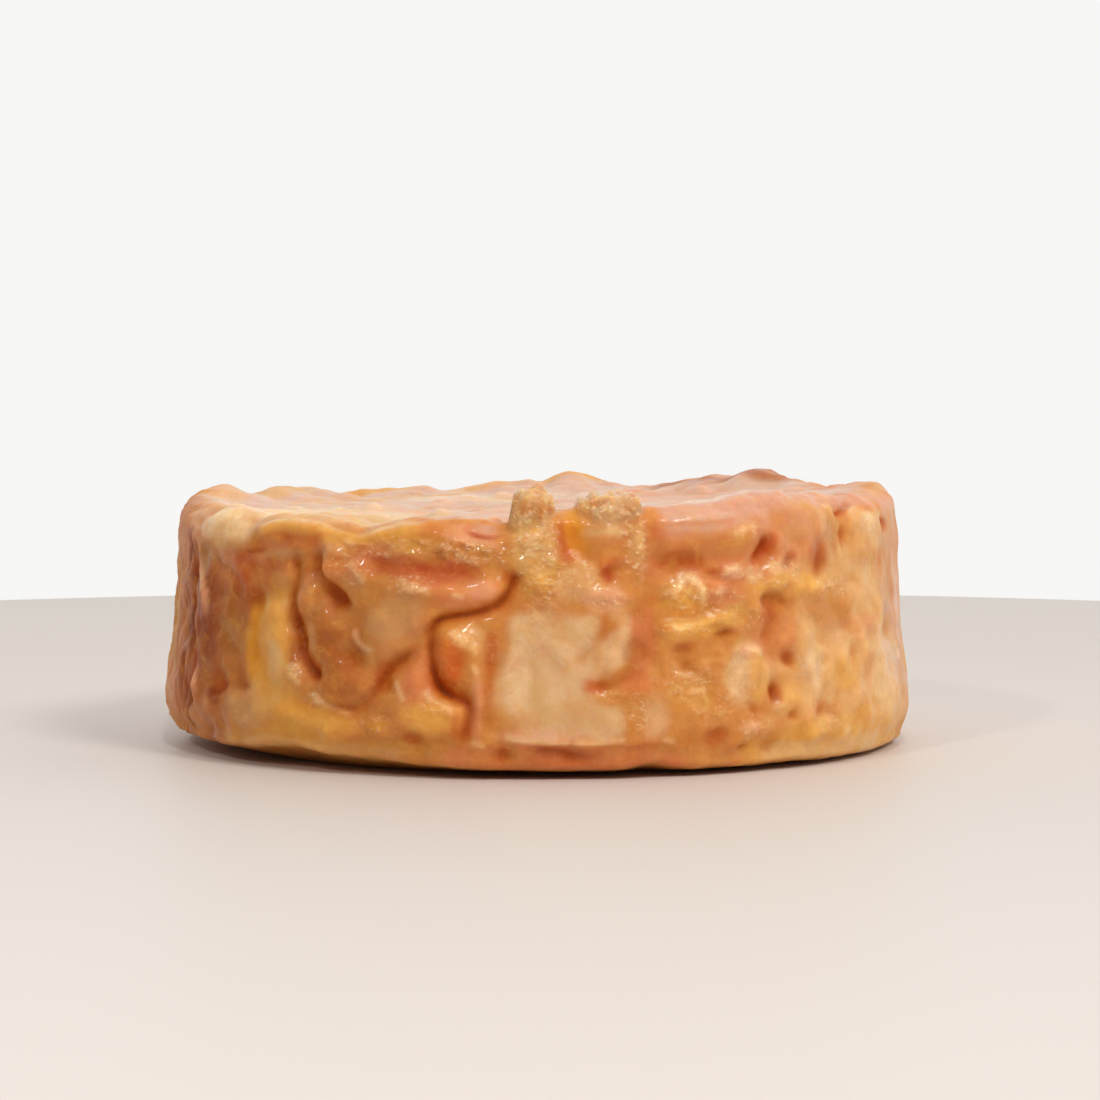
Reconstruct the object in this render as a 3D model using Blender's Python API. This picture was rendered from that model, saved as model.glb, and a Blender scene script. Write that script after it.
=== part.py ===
"""A whole small washed-rind soft cheese: a low round with a wet, folded and dented rind.

The cheese is one solid. A turned profile gives its plain form, and the folds, lumps and dents of
the rind push that form in or out along its own normals. Places on the side are (angle, height)
and places on the top face are (angle, radius): the angle is in degrees from the front, -Y, and
grows towards +X. Heights and radii are in millimetres.
"""

import math
import random
from typing import NamedTuple

import bpy
import numpy as np
from mathutils import Vector, noise

MM = 0.001

# The plain form, as radius and height in millimetres.
FOOT_RADIUS = 42.0
TOE_RADIUS, TOE_HEIGHT = 50.4, 1.4
INSTEP_RADIUS, INSTEP_HEIGHT = 51.8, 3.2
BELLY_RADIUS, BELLY_HEIGHT = 52.8, 7.5
WAIST_RADIUS, WAIST_HEIGHT = 51.7, 19.0
SHOULDER_RADIUS, SHOULDER_HEIGHT = 50.9, 31.0
RIM_RADIUS, RIM_HEIGHT = 49.3, 34.1
CREST_RADIUS, CREST_HEIGHT = 46.2, 34.9
DISH_RADIUS, DISH_HEIGHT = 38.0, 33.8
CENTRE_HEIGHT = 33.3

# The rim stands higher on the right than on the left and has lumps all round.
RIM_TILT, RIM_HIGH_ANGLE = 1.1, 75.0
RIM_INNER_RADIUS, RIM_LOW_HEIGHT = 33.0, 26.0

# The lower edge is lifted, most on the left.
EDGE_TILT, EDGE_HIGH_ANGLE = 0.9, -90.0
EDGE_TOP_HEIGHT = 9.0

# The mesh: rows along the profile and columns round it, the triangles kept after the thinning,
# and how far the thinning may move a point of the base.
ROW_STEP = 0.75
COLUMNS = 420
TRIANGLES = 11800
BASE_SLACK = 0.02
CREASE_ANGLE = math.radians(60)
SURFACE = "cheese"


class Fold(NamedTuple):
    """A crease between two rounded lobes, steep under the lobe that stands over the other.

    A lip above 0 raises the lobe on the path's left and one under 0 that on its right. A third
    number at a place is the fold's share of its depth there.
    """

    path: tuple
    depth: float
    width: float = 1.1
    lip: float = 0.0


class Roll(NamedTuple):
    """A rounded ridge, or with a negative height a rounded channel, along a path."""

    path: tuple
    height: float
    width: float


class Lump(NamedTuple):
    """A rounded swelling, or with a negative height a dent, of the given half sizes."""

    at: tuple
    half_width: float
    half_height: float
    height: float
    turn: float = 0.0


class RimLump(NamedTuple):
    """A rise of the rim or of the lower edge, with its half width in degrees."""

    angle: float
    rise: float
    spread: float


RIM_LUMPS = (
    RimLump(-165.0, -0.9, 5.0),
    RimLump(-156.0, -0.5, 5.0),
    RimLump(-141.0, -0.7, 5.0),
    RimLump(-127.0, 1.0, 6.0),
    RimLump(-114.0, -0.5, 4.0),
    RimLump(-99.0, 1.9, 8.0),
    RimLump(-80.0, 0.8, 12.0),
    RimLump(-51.0, -0.8, 4.0),
    RimLump(-38.0, 0.2, 6.0),
    RimLump(-28.0, -0.7, 3.5),
    RimLump(-26.0, -1.0, 24.0),
    RimLump(-6.0, -1.2, 4.5),
    RimLump(22.0, 0.4, 6.0),
    RimLump(42.0, 1.0, 11.0),
    RimLump(90.0, 0.9, 8.0),
    RimLump(113.0, -0.4, 6.0),
    RimLump(134.0, 1.6, 5.0),
    RimLump(145.0, 1.0, 6.0),
    RimLump(150.0, -0.3, 8.0),
    RimLump(159.0, -1.0, 6.0),
    RimLump(173.5, 1.6, 4.0),
)

EDGE_LUMPS = (
    RimLump(-41.0, 1.1, 7.0),
    RimLump(-27.0, 0.6, 8.0),
    RimLump(17.0, 0.7, 3.5),
    RimLump(44.0, 0.3, 4.0),
    RimLump(120.0, 0.7, 9.0),
    RimLump(165.0, 0.8, 8.0),
    RimLump(-140.0, 0.6, 10.0),
)

FOLDS = {
    "hook": Fold(
        ((-40.9, 30.0, 0.4), (-39.5, 27.6, 0.9), (-39.2, 25.2, 0.6), (-40.0, 23.2, 0.7), (-39.5, 20.6, 1.0),
         (-38.4, 18.2, 1.3), (-37.6, 16.0, 0.9), (-36.2, 14.2, 1.1), (-34.4, 12.9, 1.3), (-32.4, 12.1, 0.8)),
        1.2, 0.55, -0.35),
    "lobe_edge": Fold(
        ((-33.2, 31.0, 0.7), (-34.3, 29.4, 0.9), (-34.4, 27.2, 0.9), (-33.2, 25.6, 0.8), (-31.4, 24.4, 1.0),
         (-29.6, 23.1, 1.2), (-27.8, 22.3, 0.7)), 1.15, 0.6, 0.5),
    "s_bend_upper": Fold(
        ((-3.4, 28.4, 0.3), (-3.9, 26.2, 0.7), (-5.2, 24.0, 1.0), (-7.6, 22.6, 0.9), (-11.2, 21.8, 0.9),
         (-14.4, 21.2, 1.0), (-16.0, 19.8, 0.8), (-17.4, 18.0, 0.5)), 1.2, 0.42, -0.6),
    "s_bend_lower": Fold(
        ((-15.4, 20.2, 0.6), (-16.0, 18.0, 0.8), (-15.7, 15.6, 0.8), (-15.0, 13.0, 1.3), (-13.7, 11.4, 1.5),
         (-11.9, 10.6, 1.2), (-10.4, 10.0, 1.1), (-10.1, 8.4, 0.8), (-10.7, 6.0, 0.6), (-11.2, 3.4, 0.4)),
        1.5, 0.65, -0.2),
    "tongue_edge": Fold(
        ((-16.8, 18.6, 0.3), (-18.6, 17.0, 0.6), (-20.4, 15.9, 1.1), (-22.6, 14.2, 0.9), (-24.2, 12.2, 1.0),
         (-25.4, 10.5, 0.8), (-27.6, 9.4, 0.7), (-30.4, 9.2, 0.8), (-33.2, 10.0, 0.5)), 0.85, 0.75, -0.5),
    "tongue_crease": Fold(((-31.6, 16.8), (-29.0, 15.5), (-26.8, 14.6), (-24.8, 14.8)), 0.6, 1.1, -0.2),
    "tongue_side": Fold(((-37.6, 19.2), (-36.8, 17.8), (-37.2, 16.6), (-36.2, 15.4)), 0.5, 0.6, 0.2),
    "egg_right": Fold(((-34.2, 25.6), (-32.6, 23.8), (-32.4, 21.8), (-33.6, 20.4)), 0.6, 1.1, -0.2),
    "rim_notch": Fold(((-15.3, 30.8), (-14.4, 29.6), (-13.2, 28.5)), 0.5, 0.45, 0.2),
    "column_left": Fold(((-6.3, 21.0), (-6.5, 18.0), (-7.0, 14.0), (-7.3, 9.0), (-7.2, 5.0)), 0.2, 0.9, 0.0),
    "foot_crease": Fold(((-1.6, 3.2), (0.4, 4.2), (2.4, 4.1), (5.4, 3.4), (10.0, 3.0)), 0.4, 0.9, 0.2),
    "foot_crease_left": Fold(((-7.4, 2.4), (-5.0, 3.3), (-2.4, 2.6)), 0.3, 0.9, 0.1),
    "patch_inner": Fold(((8.8, 22.4), (9.4, 20.4), (8.4, 18.0), (6.4, 16.2), (4.6, 14.8)), 0.25, 0.7),
    "patch_mark": Fold(((-0.6, 19.0), (1.2, 17.0), (3.2, 14.6), (4.4, 13.0)), 0.25, 0.8),
    "patch_mark_low": Fold(((-3.2, 13.2), (-1.8, 15.4), (0.0, 13.2)), 0.2, 0.8),
    "red_dent": Fold(
        ((7.0, 12.9, 0.6), (8.4, 12.3, 1.5), (10.2, 12.2, 0.9), (13.0, 13.3, 0.5), (16.2, 14.6, 0.3)),
        0.65, 0.7, -0.25),
    "patch_right": Fold(((14.6, 14.0), (15.4, 17.5), (15.0, 21.0), (13.4, 24.0)), 0.3, 1.3),
    "slash": Fold(((38.2, 30.9, 0.6), (36.4, 30.3), (34.6, 28.9, 1.2), (32.0, 27.6, 0.7)), 0.55, 0.9, -0.35),
    "slash_side": Fold(((37.8, 30.6), (37.0, 29.4), (35.4, 28.4)), 0.4, 1.3, 0.0),
    "arch": Fold(
        ((33.8, 22.0), (34.6, 23.2), (36.2, 23.6), (38.4, 23.4), (40.2, 22.6, 0.6), (43.0, 21.6, 0.3)),
        0.55, 0.75, 0.4),
    "arch_stem": Fold(((35.6, 23.0), (36.4, 21.2), (36.2, 19.4), (33.4, 17.7)), 0.4, 1.3, -0.2),
    "side_crease": Fold(((26.2, 18.6), (28.2, 19.2), (30.6, 18.8)), 0.45, 0.8, 0.4),
    "side_crease_low": Fold(((18.8, 17.4), (21.4, 17.2), (24.2, 17.6)), 0.35, 0.8, 0.3),
    "side_crease_foot": Fold(((20.4, 14.8), (22.4, 14.8), (24.2, 15.4)), 0.35, 0.8, 0.2),
    "low_arch": Fold(((30.6, 8.2), (32.2, 8.6), (33.4, 7.6), (34.6, 6.2)), 0.4, 0.5, -0.3),
    "low_arch_right": Fold(
        ((44.0, 6.0), (45.2, 7.0), (46.8, 7.5), (49.4, 6.8), (51.4, 6.0)),
        0.5, 0.5, -0.3),
    "low_smile": Fold(((33.2, 3.6), (36.0, 3.2), (39.2, 3.8)), 0.4, 0.6, -0.2),
    "crust_stem": Fold(((54.6, 32.0), (55.4, 30.8), (54.8, 29.0), (53.6, 27.8)), 0.3, 0.6, 0.5),
    "pink_scoop_edge": Fold(((-11.6, 34.0), (-9.6, 33.2), (-6.6, 33.1), (-4.6, 33.8)), 0.5, 0.5),
    "crust_brow": Fold(
        ((53.4, 31.0), (54.4, 32.4), (56.4, 33.4), (59.6, 34.0), (62.4, 34.2)),
        0.6, 0.5, -0.35),
    "left_low": Fold(((-51.5, 10.6), (-48.5, 10.9), (-45.8, 11.6)), 0.5, 1.0, 0.2),
    "left_valley": Fold(((-52.0, 11.8), (-54.6, 9.8), (-58.4, 8.0)), 0.9, 1.0, 0.3),
    "left_brow": Fold(((-60.6, 28.4), (-56.6, 27.0), (-53.0, 25.6), (-49.6, 25.8)), 0.4, 1.2, 0.2),
    "left_pleat": Fold(
        ((-65.4, 30.0), (-66.6, 24.0), (-64.8, 17.0), (-63.2, 12.0), (-65.0, 5.5)),
        0.5, 0.6, 0.3),
    "left_pleat_far": Fold(((-71.0, 30.5), (-74.5, 24.0), (-71.0, 16.0), (-75.0, 8.0)), 0.4, 0.6, 0.2),
    "left_pleat_edge": Fold(((-84.0, 29.0), (-81.0, 22.0), (-85.0, 14.0), (-82.0, 7.0)), 0.4, 0.6, 0.2),
}

ROLLS = {
    "pale_ridge": Roll(((-64.5, 28.4), (-62.4, 25.0), (-61.0, 21.5), (-61.4, 17.5)), 0.6, 0.9),
    "pale_ridge_low": Roll(((-62.6, 14.0), (-62.0, 10.5), (-61.0, 7.8)), 0.6, 0.8),
    "yellow_ridge": Roll(((-43.4, 24.0), (-42.6, 19.0), (-41.0, 15.0), (-38.6, 11.6)), 0.7, 2.3),
    "pink_valley": Roll(
        ((-27.5, 28.6), (-23.0, 28.2), (-19.0, 27.9), (-15.0, 26.9), (-7.5, 27.6)),
        -0.4, 1.4),
    "left_rim_roll": Roll(((-49.0, 32.4), (-41.0, 33.6), (-33.0, 33.2)), 0.45, 1.2),
    "mid_rim_roll": Roll(((-27.0, 32.6), (-21.0, 33.4), (-15.6, 33.0)), 0.5, 1.4),
    "right_rim_roll": Roll(((16.0, 33.2), (24.0, 32.9), (32.0, 33.6)), 0.35, 1.2),
    "brow_band": Roll(((17.0, 30.2), (24.0, 30.6), (31.0, 30.8), (36.0, 32.2)), 0.4, 1.3),
    "column": Roll(((-9.0, 18.6), (-8.7, 15.0), (-8.6, 9.0), (-8.6, 4.6)), 0.4, 1.0),
    "drip_left": Roll(((-0.4, 34.0), (-0.2, 30.0), (0.0, 26.5), (0.4, 23.6)), 0.6, 2.3),
    "drip_mid": Roll(((9.8, 34.4), (9.4, 31.4), (10.2, 29.4)), 0.6, 2.4),
    "drip_right": Roll(((15.2, 34.4), (15.0, 30.5), (15.2, 27.4)), 0.5, 0.9),
    "drip_gap": Roll(((5.0, 34.8), (5.4, 31.8), (7.0, 29.2), (10.0, 27.6)), -0.35, 1.1),
    "yellow_shelf": Roll(((17.4, 20.4), (20.8, 19.7), (24.6, 20.3), (31.0, 21.6)), 0.5, 0.9),
    "yellow_brow": Roll(((34.0, 25.0), (38.0, 25.6), (43.0, 24.6), (50.0, 24.0)), 0.5, 1.4),
    "low_shelf": Roll(((41.0, 4.4), (47.0, 4.8), (54.0, 3.8)), 0.5, 1.2),
    "patch_ledge": Roll(((-5.4, 5.5), (-1.0, 5.2), (5.0, 4.9), (11.5, 5.1), (19.0, 4.9)), 0.2, 0.45),
    "lower_lip": Roll(((-64.0, 2.6), (-55.0, 2.6), (-46.0, 2.8), (-39.0, 3.0), (-30.0, 2.4)), 0.4, 0.9),
    "crust_left": Roll(((53.4, 31.6), (53.2, 29.6), (52.4, 27.4)), 0.4, 0.8),
    "glint_lump_left": Roll(((19.2, 23.6), (20.6, 25.0), (22.6, 26.3)), 0.4, 0.6),
    "glint_lump_right": Roll(((22.6, 26.3), (24.4, 24.6), (25.0, 22.0)), 0.4, 0.6),
    "pillow_left": Roll(((29.2, 10.4), (30.2, 12.8), (30.8, 15.4)), 0.4, 0.8),
    "pillow_right": Roll(((35.4, 15.6), (35.4, 12.8), (35.0, 10.4)), 0.35, 0.8),
    "ribbon": Roll(((42.4, 17.8), (43.8, 14.0), (45.0, 10.6), (45.2, 8.0)), 0.4, 1.1),
    "ribbon_far": Roll(((50.4, 19.0), (51.8, 15.0), (50.8, 11.4)), 0.3, 1.4),
    "side_rib": Roll(((61.0, 24.0), (64.0, 20.0), (62.0, 15.0), (66.0, 10.0)), 0.2, 1.6),
    "side_rib_far": Roll(((73.0, 26.0), (76.0, 20.0), (74.0, 13.0)), 0.25, 1.4),
    "side_rib_low": Roll(((55.0, 19.0), (58.0, 16.0), (57.0, 11.0)), 0.35, 1.4),
}

LUMPS = {
    "pink_lobe": Lump((-12.0, 25.0), 7.0, 1.6, 0.7, 4.0),
    "pink_lobe_left": Lump((-30.2, 27.6), 3.6, 2.8, 0.8),
    "tan_lobe": Lump((-22.5, 20.6), 4.4, 3.4, 0.7, -25.0),
    "tan_lobe_low": Lump((-31.5, 17.8), 4.2, 2.6, 0.5, 15.0),
    "egg": Lump((-36.4, 22.8), 2.2, 2.6, 0.8),
    "egg_top": Lump((-37.0, 27.4), 1.5, 2.4, 0.4),
    "tongue_tip": Lump((-29.4, 12.2), 4.0, 2.4, 0.7),
    "orange_lobe": Lump((-12.9, 15.8), 2.6, 4.6, 1.1, -4.0),
    "lower_band": Lump((-18.4, 11.4), 2.4, 4.2, 0.5, 14.0),
    "lower_pad": Lump((-16.0, 7.8), 3.6, 2.2, 0.5),
    "left_pad": Lump((-33.0, 6.2), 5.4, 2.4, 0.6),
    "mid_pad": Lump((-25.0, 6.0), 3.4, 2.6, 0.3),
    "left_belly": Lump((-49.0, 7.2), 6.0, 2.8, 0.4),
    "pale_lobe": Lump((11.6, 17.2), 1.6, 4.0, 0.5, -38.0),
    "patch_hollow": Lump((1.0, 13.0), 6.5, 7.5, -0.4),
    "grain_lump": Lump((10.2, 24.4), 2.4, 1.1, 0.4),
    "glint_lump": Lump((22.0, 24.2), 2.6, 1.6, 0.4),
    "brow_lump": Lump((29.8, 27.0), 1.6, 0.8, 0.5),
    "brow_lump_right": Lump((37.6, 27.2), 2.6, 1.0, 0.5),
    "right_pillow": Lump((32.6, 13.2), 1.8, 3.4, 0.5, -12.0),
    "right_pillow_top": Lump((32.6, 16.5), 2.4, 0.8, 0.4),
    "right_swell": Lump((50.0, 11.0), 4.4, 4.4, 0.5),
    "right_swell_high": Lump((58.0, 21.0), 4.0, 3.6, 0.4),
    "right_foot": Lump((32.2, 6.2), 1.9, 1.0, 0.5),
    "crust_bit": Lump((62.8, 31.5), 2.6, 0.9, 0.5, -14.0),
    "crust_pad": Lump((60.0, 28.6), 3.4, 3.0, 0.3),
    "corner_lump": Lump((-62.0, 32.4), 8.0, 3.2, 0.4),
    "right_corner": Lump((92.0, 31.5), 12.0, 4.5, -0.35),
    "left_shoulder": Lump((-90.0, 33.0), 12.0, 4.0, 0.3),
    "left_flank": Lump((-91.0, 8.6), 11.0, 5.0, 0.2),
    "knob": Lump((48.0, 30.8), 1.2, 0.8, 0.4),
    "s_end": Lump((-4.0, 26.6), 1.5, 1.7, -0.5),
    "lobe_hole": Lump((-30.4, 22.7), 1.9, 1.1, -0.45, -16.0),
    "left_slot": Lump((-47.0, 21.9), 1.2, 2.0, -0.6, 14.0),
    "left_slot_low": Lump((-46.8, 16.4), 1.0, 3.0, -0.3),
    "left_slot_high": Lump((-48.6, 29.3), 2.2, 0.6, -0.4),
    "red_dimple": Lump((-18.0, 5.3), 1.6, 1.2, -0.35),
    "drip_dent": Lump((10.4, 27.0), 1.8, 0.9, -0.9, 25.0),
    "brow_dent": Lump((21.8, 28.0), 2.8, 1.1, -0.6, -6.0),
    "brow_dent_low": Lump((26.6, 26.6), 1.6, 0.6, -0.5, -15.0),
    "pit_mid": Lump((40.7, 27.9), 1.4, 0.6, -0.6, 18.0),
    "pit_small": Lump((43.4, 29.4), 0.8, 0.6, -0.4),
    "pit_deep": Lump((47.9, 27.4), 1.8, 1.9, -0.9),
    "pit_wedge": Lump((37.0, 10.8), 0.9, 1.4, -0.9, 10.0),
    "pit_tail": Lump((40.0, 14.9), 1.4, 1.0, -0.7, -30.0),
    "pit_low": Lump((40.4, 7.4), 0.9, 0.6, -0.6),
    "pit_right": Lump((47.6, 14.2), 1.0, 0.8, -0.4),
    "pit_right_high": Lump((46.0, 17.2), 0.8, 0.9, -0.3),
    "broad_dent": Lump((26.0, 5.4), 2.4, 1.4, -0.5),
    "foot_pit": Lump((31.2, 3.7), 0.9, 0.5, -0.6),
    "arch_dent": Lump((37.4, 20.6), 2.4, 2.2, -0.4),
    "left_dent_low": Lump((-65.0, 8.4), 2.0, 1.9, -0.5),
    "left_dent_mid": Lump((-68.4, 17.0), 2.2, 3.2, -0.4),
    "left_dent_top": Lump((-70.0, 28.6), 2.4, 2.4, -0.3),
    "left_dent_far": Lump((-75.0, 11.8), 2.2, 1.8, -0.4),
    "left_dent_rim": Lump((-62.6, 28.4), 1.5, 1.0, -0.4),
    "right_notch": Lump((71.0, 31.2), 1.6, 0.7, -0.6),
    "right_hollow": Lump((76.0, 16.4), 1.8, 1.0, -0.25),
    "right_dent": Lump((57.0, 24.6), 1.4, 1.0, -0.4),
    "right_dent_mid": Lump((69.0, 17.0), 1.4, 2.0, -0.5, 20.0),
    "right_dent_low": Lump((61.0, 7.4), 1.8, 0.9, -0.5, -14.0),
    "right_dent_high": Lump((67.0, 27.0), 1.2, 1.6, -0.4, -20.0),
}

# Stretches without ripples: a height here is a share of smoothness.
SMOOTH = {
    "patch": Lump((2.0, 13.5), 9.0, 9.0, 0.9),
    "brow": Lump((24.0, 30.6), 8.0, 3.4, 0.7),
    "yellow_strip": Lump((-42.0, 16.0), 4.0, 8.0, 0.6),
    "pink_lobe": Lump((-12.0, 24.8), 6.0, 2.0, 0.6),
    "lobes": Lump((-22.0, 19.0), 9.0, 6.0, 0.5),
    "right_edge": Lump((90.0, 17.0), 18.0, 20.0, 0.9),
    "left_edge": Lump((-90.0, 17.0), 14.0, 20.0, 0.7),
}

# Crusty knobs that stand on the front rim: angle, half width round the rim, half depth, height.
# A knob's flank begins at its foot and takes up a share of its half size.
RIM_KNOBS = {
    "left": (-1.4, 2.4, 2.6, 3.4),
    "left_right": (1.3, 1.0, 2.0, 2.0),
    "right_low": (7.6, 1.3, 2.2, 1.3),
    "right_left": (9.8, 1.6, 3.0, 1.8),
    "right_right": (13.2, 2.2, 2.8, 2.0),
}
KNOB_RADIUS = 47.2
KNOB_FOOT, KNOB_FLANK = 1.16, 0.32
KNOB_LEAN = 0.22
CRUST_SIZE, CRUST_HEIGHT = 1.5, 0.75
CRUSTED_RISE = 1.2

# Upright wrinkles of the drier skin: the middle and half width of each stretch, in degrees.
PLEATED = ((-85.0, 26.0), (122.0, 22.0), (-148.0, 20.0))
PLEAT_SIZE, PLEAT_STRETCH, PLEAT_HEIGHT = 1.5, 0.2, 0.3
PLEAT_SHARPNESS, PLEAT_FADE = 3.2, 12.0

TOP_ROLLS = {
    "left_arc": Roll(((-46.0, 41.0), (-40.0, 43.2), (-33.0, 42.4)), 0.8, 1.3),
    "mid_arc": Roll(((-29.0, 42.6), (-24.0, 43.8), (-19.0, 43.0)), 0.6, 1.1),
    "right_arc": Roll(((24.0, 42.0), (34.0, 44.0), (46.0, 43.4)), 0.6, 1.4),
    "pink_scoop": Roll(((-10.2, 45.6), (-7.4, 45.3), (-4.8, 45.6)), -0.8, 0.8),
    "pink_scoop_back": Roll(((-10.6, 43.9), (-7.4, 43.3), (-4.6, 43.9)), 1.2, 1.1),
}

# Slow swells all over, and ripples and dimples where the rind isn't smooth.
SWELL_SIZE, SWELL_HEIGHT = 17.0, 0.55
RIPPLE_SIZE, RIPPLE_HEIGHT = 5.6, 0.5
DIMPLE_SIZE, DIMPLE_HEIGHT = 2.7, 0.42


class Repeat(NamedTuple):
    """A stretch of the front whose folds and lumps come again on the unseen side, centred at an angle."""

    first: float
    last: float
    centre: float
    mirrored: bool
    upside_down: bool


REPEATS = (
    Repeat(-52.0, 52.0, 180.0, mirrored=True, upside_down=False),
    Repeat(-50.0, -15.0, 112.0, mirrored=True, upside_down=True),
    Repeat(17.0, 52.0, -112.0, mirrored=False, upside_down=True),
)
REPEAT_HEIGHT = 34.5

# How folds and rolls are drawn: the spacing of a line's points, the length that fades at each
# end, and a fold's roundness at its bottom, its shoulders and its lip.
LINE_STEP, END_FADE = 0.8, 3.2
FOLD_SOFTNESS, LIP_EDGE, LIP_REACH = 0.3, 0.35, 2.6
SHOULDER_SHARE, SHOULDER_REACH = 0.3, 2.6

# Worm-like rolls scattered over the top face.
ARC_SEED, ARC_COUNT, ARC_REACH = 7, 46, 42.0
ARC_LENGTH, ARC_BEND, ARC_WIDTH, ARC_HEIGHT = (7.0, 17.0), 0.13, (1.1, 2.2), (0.35, 0.8)


def smooth_step(x):
    x = np.clip(x, 0.0, 1.0)
    return x * x * (3.0 - 2.0 * x)


def spline(points, step):
    """Points about a step apart on a smooth curve through the given points."""
    p = np.asarray(points, float)
    p = np.vstack([2 * p[0] - p[1], p, 2 * p[-1] - p[-2]])
    made = []
    for a, b, c, d in zip(p, p[1:], p[2:], p[3:]):
        count = max(2, round(float(np.linalg.norm(c - b)) / step))
        t = (np.arange(count) / count)[:, None]
        made.append(0.5 * (2 * b + (c - a) * t + (2 * a - 5 * b + 4 * c - d) * t**2
                           + (3 * b - a - 3 * c + d) * t**3))
    made.append(p[-2:-1])
    return np.vstack(made)


def profile():
    """Radius and height along the plain form, from the middle of the base to the middle of the top."""
    curved = spline(
        (
            (FOOT_RADIUS, 0.0),
            (TOE_RADIUS, TOE_HEIGHT),
            (INSTEP_RADIUS, INSTEP_HEIGHT),
            (BELLY_RADIUS, BELLY_HEIGHT),
            (WAIST_RADIUS, WAIST_HEIGHT),
            (SHOULDER_RADIUS, SHOULDER_HEIGHT),
            (RIM_RADIUS, RIM_HEIGHT),
            (CREST_RADIUS, CREST_HEIGHT),
            (DISH_RADIUS, DISH_HEIGHT),
            (0.0, CENTRE_HEIGHT),
        ),
        ROW_STEP,
    )
    foot = np.linspace((ROW_STEP, 0.0), (FOOT_RADIUS, 0.0), 6)[:-1]
    return np.vstack([foot, curved[curved[:, 0] > ROW_STEP]])


def place(angle, radius, height):
    turn = np.radians(angle)
    return np.stack(np.broadcast_arrays(radius * np.sin(turn), -radius * np.cos(turn), height), -1)


def on_side(path, rows):
    """Points of the plain form's side, from (angle, height) pairs."""
    side = rows[: int(np.argmax(rows[:, 1])) + 1]
    side = side[side[:, 1] > 0]
    angle, height = np.array([each[:2] for each in path], float).T
    return place(angle, np.interp(height, side[:, 1], side[:, 0]), height)


def on_top(path, rows):
    """Points of the plain form's top face, from (angle, radius) pairs."""
    top = rows[int(np.argmax(rows[:, 1])):][::-1]
    angle, radius = np.asarray(path, float).T
    return place(angle, radius, np.interp(radius, top[:, 0], top[:, 1]))


def line_on_side(path, rows):
    """A smooth line on the side, each of its points with the path's share there as a fourth number."""
    shares = [each[2] if len(each) > 2 else 1.0 for each in path]
    return spline(np.column_stack([on_side(path, rows), shares]), LINE_STEP)


def line_on_top(path, rows):
    return spline(np.column_stack([on_top(path, rows), np.ones(len(path))]), LINE_STEP)


def near_line(points, normals, line, reach):
    """The points within reach of a line: which, how far, how far to its left, and the line's share there.

    The share fades to nothing at the line's ends.
    """
    line, shares = line[:, :3], line[:, 3]
    low, high = line.min(0) - reach, line.max(0) + reach
    which = np.nonzero(((points >= low) & (points <= high)).all(1))[0]
    p, n = points[which], normals[which]
    far = np.full(len(which), np.inf)
    left = np.zeros(len(which))
    along = np.zeros(len(which))
    share = np.zeros(len(which))
    for i, (a, b) in enumerate(zip(line, line[1:])):
        d = b - a
        t = np.clip((p - a) @ d / (d @ d), 0.0, 1.0)
        off = p - a - t[:, None] * d
        length = np.linalg.norm(off, axis=1)
        better = length < far
        far[better] = length[better]
        left[better] = (off * np.cross(n, d / np.linalg.norm(d))).sum(1)[better]
        along[better] = (i + t[better]) / (len(line) - 1)
        share[better] = (shares[i] + t * (shares[i + 1] - shares[i]))[better]
    fade = min(0.5, END_FADE / (LINE_STEP * len(line)))
    share *= smooth_step(along / fade) * smooth_step((1.0 - along) / fade)
    return which, far, left, share


def fold_width(left, fold):
    """The fold's width on each side of its line: narrow under the raised lobe, wide on the other."""
    side = np.sign(fold.lip) * np.tanh(left / LIP_EDGE)
    return fold.width * (1.1 - 0.5 * side), side


def fold_relief(points, normals, line, fold):
    """A sharp valley with round shoulders, and a lip that stands over it."""
    which, far, left, share = near_line(points, normals, line, 5 * fold.width + LIP_REACH)
    width, side = fold_width(left, fold)
    near = np.sqrt(far**2 + FOLD_SOFTNESS**2) - FOLD_SOFTNESS
    made = -(1.0 - SHOULDER_SHARE) * fold.depth * np.exp(-near / width)
    made -= SHOULDER_SHARE * fold.depth * np.exp(-((far / (SHOULDER_REACH * fold.width)) ** 2))
    made += abs(fold.lip) * side * np.exp(-far / LIP_REACH)
    return which, made * share


def roll_relief(points, normals, line, roll):
    which, far, _, share = near_line(points, normals, line, 3 * roll.width)
    return which, roll.height * np.exp(-((far / roll.width) ** 2)) * share


def lump_relief(points, lump, rows):
    centre = on_side([lump.at], rows)[0]
    turn = math.radians(lump.at[0])
    across = np.array([math.cos(turn), math.sin(turn), 0.0])
    reach = 3 * max(lump.half_width, lump.half_height)
    which = np.nonzero(np.linalg.norm(points - centre, axis=1) < reach)[0]
    off = points[which] - centre
    u, v = off @ across, off[:, 2]
    c, s = math.cos(math.radians(lump.turn)), math.sin(math.radians(lump.turn))
    share = ((c * u + s * v) / lump.half_width) ** 2 + ((c * v - s * u) / lump.half_height) ** 2
    return which, lump.height * np.exp(-share)


def noise_at(points, size, shift):
    return np.array([noise.noise(Vector(p) / size + Vector((shift, -shift, 2 * shift))) for p in points])


def repeated_place(place_on_side, repeat):
    angle, height, *share = place_on_side
    off = angle - (repeat.first + repeat.last) / 2
    return (
        repeat.centre + (-off if repeat.mirrored else off),
        REPEAT_HEIGHT - height if repeat.upside_down else height,
        *share,
    )


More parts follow.
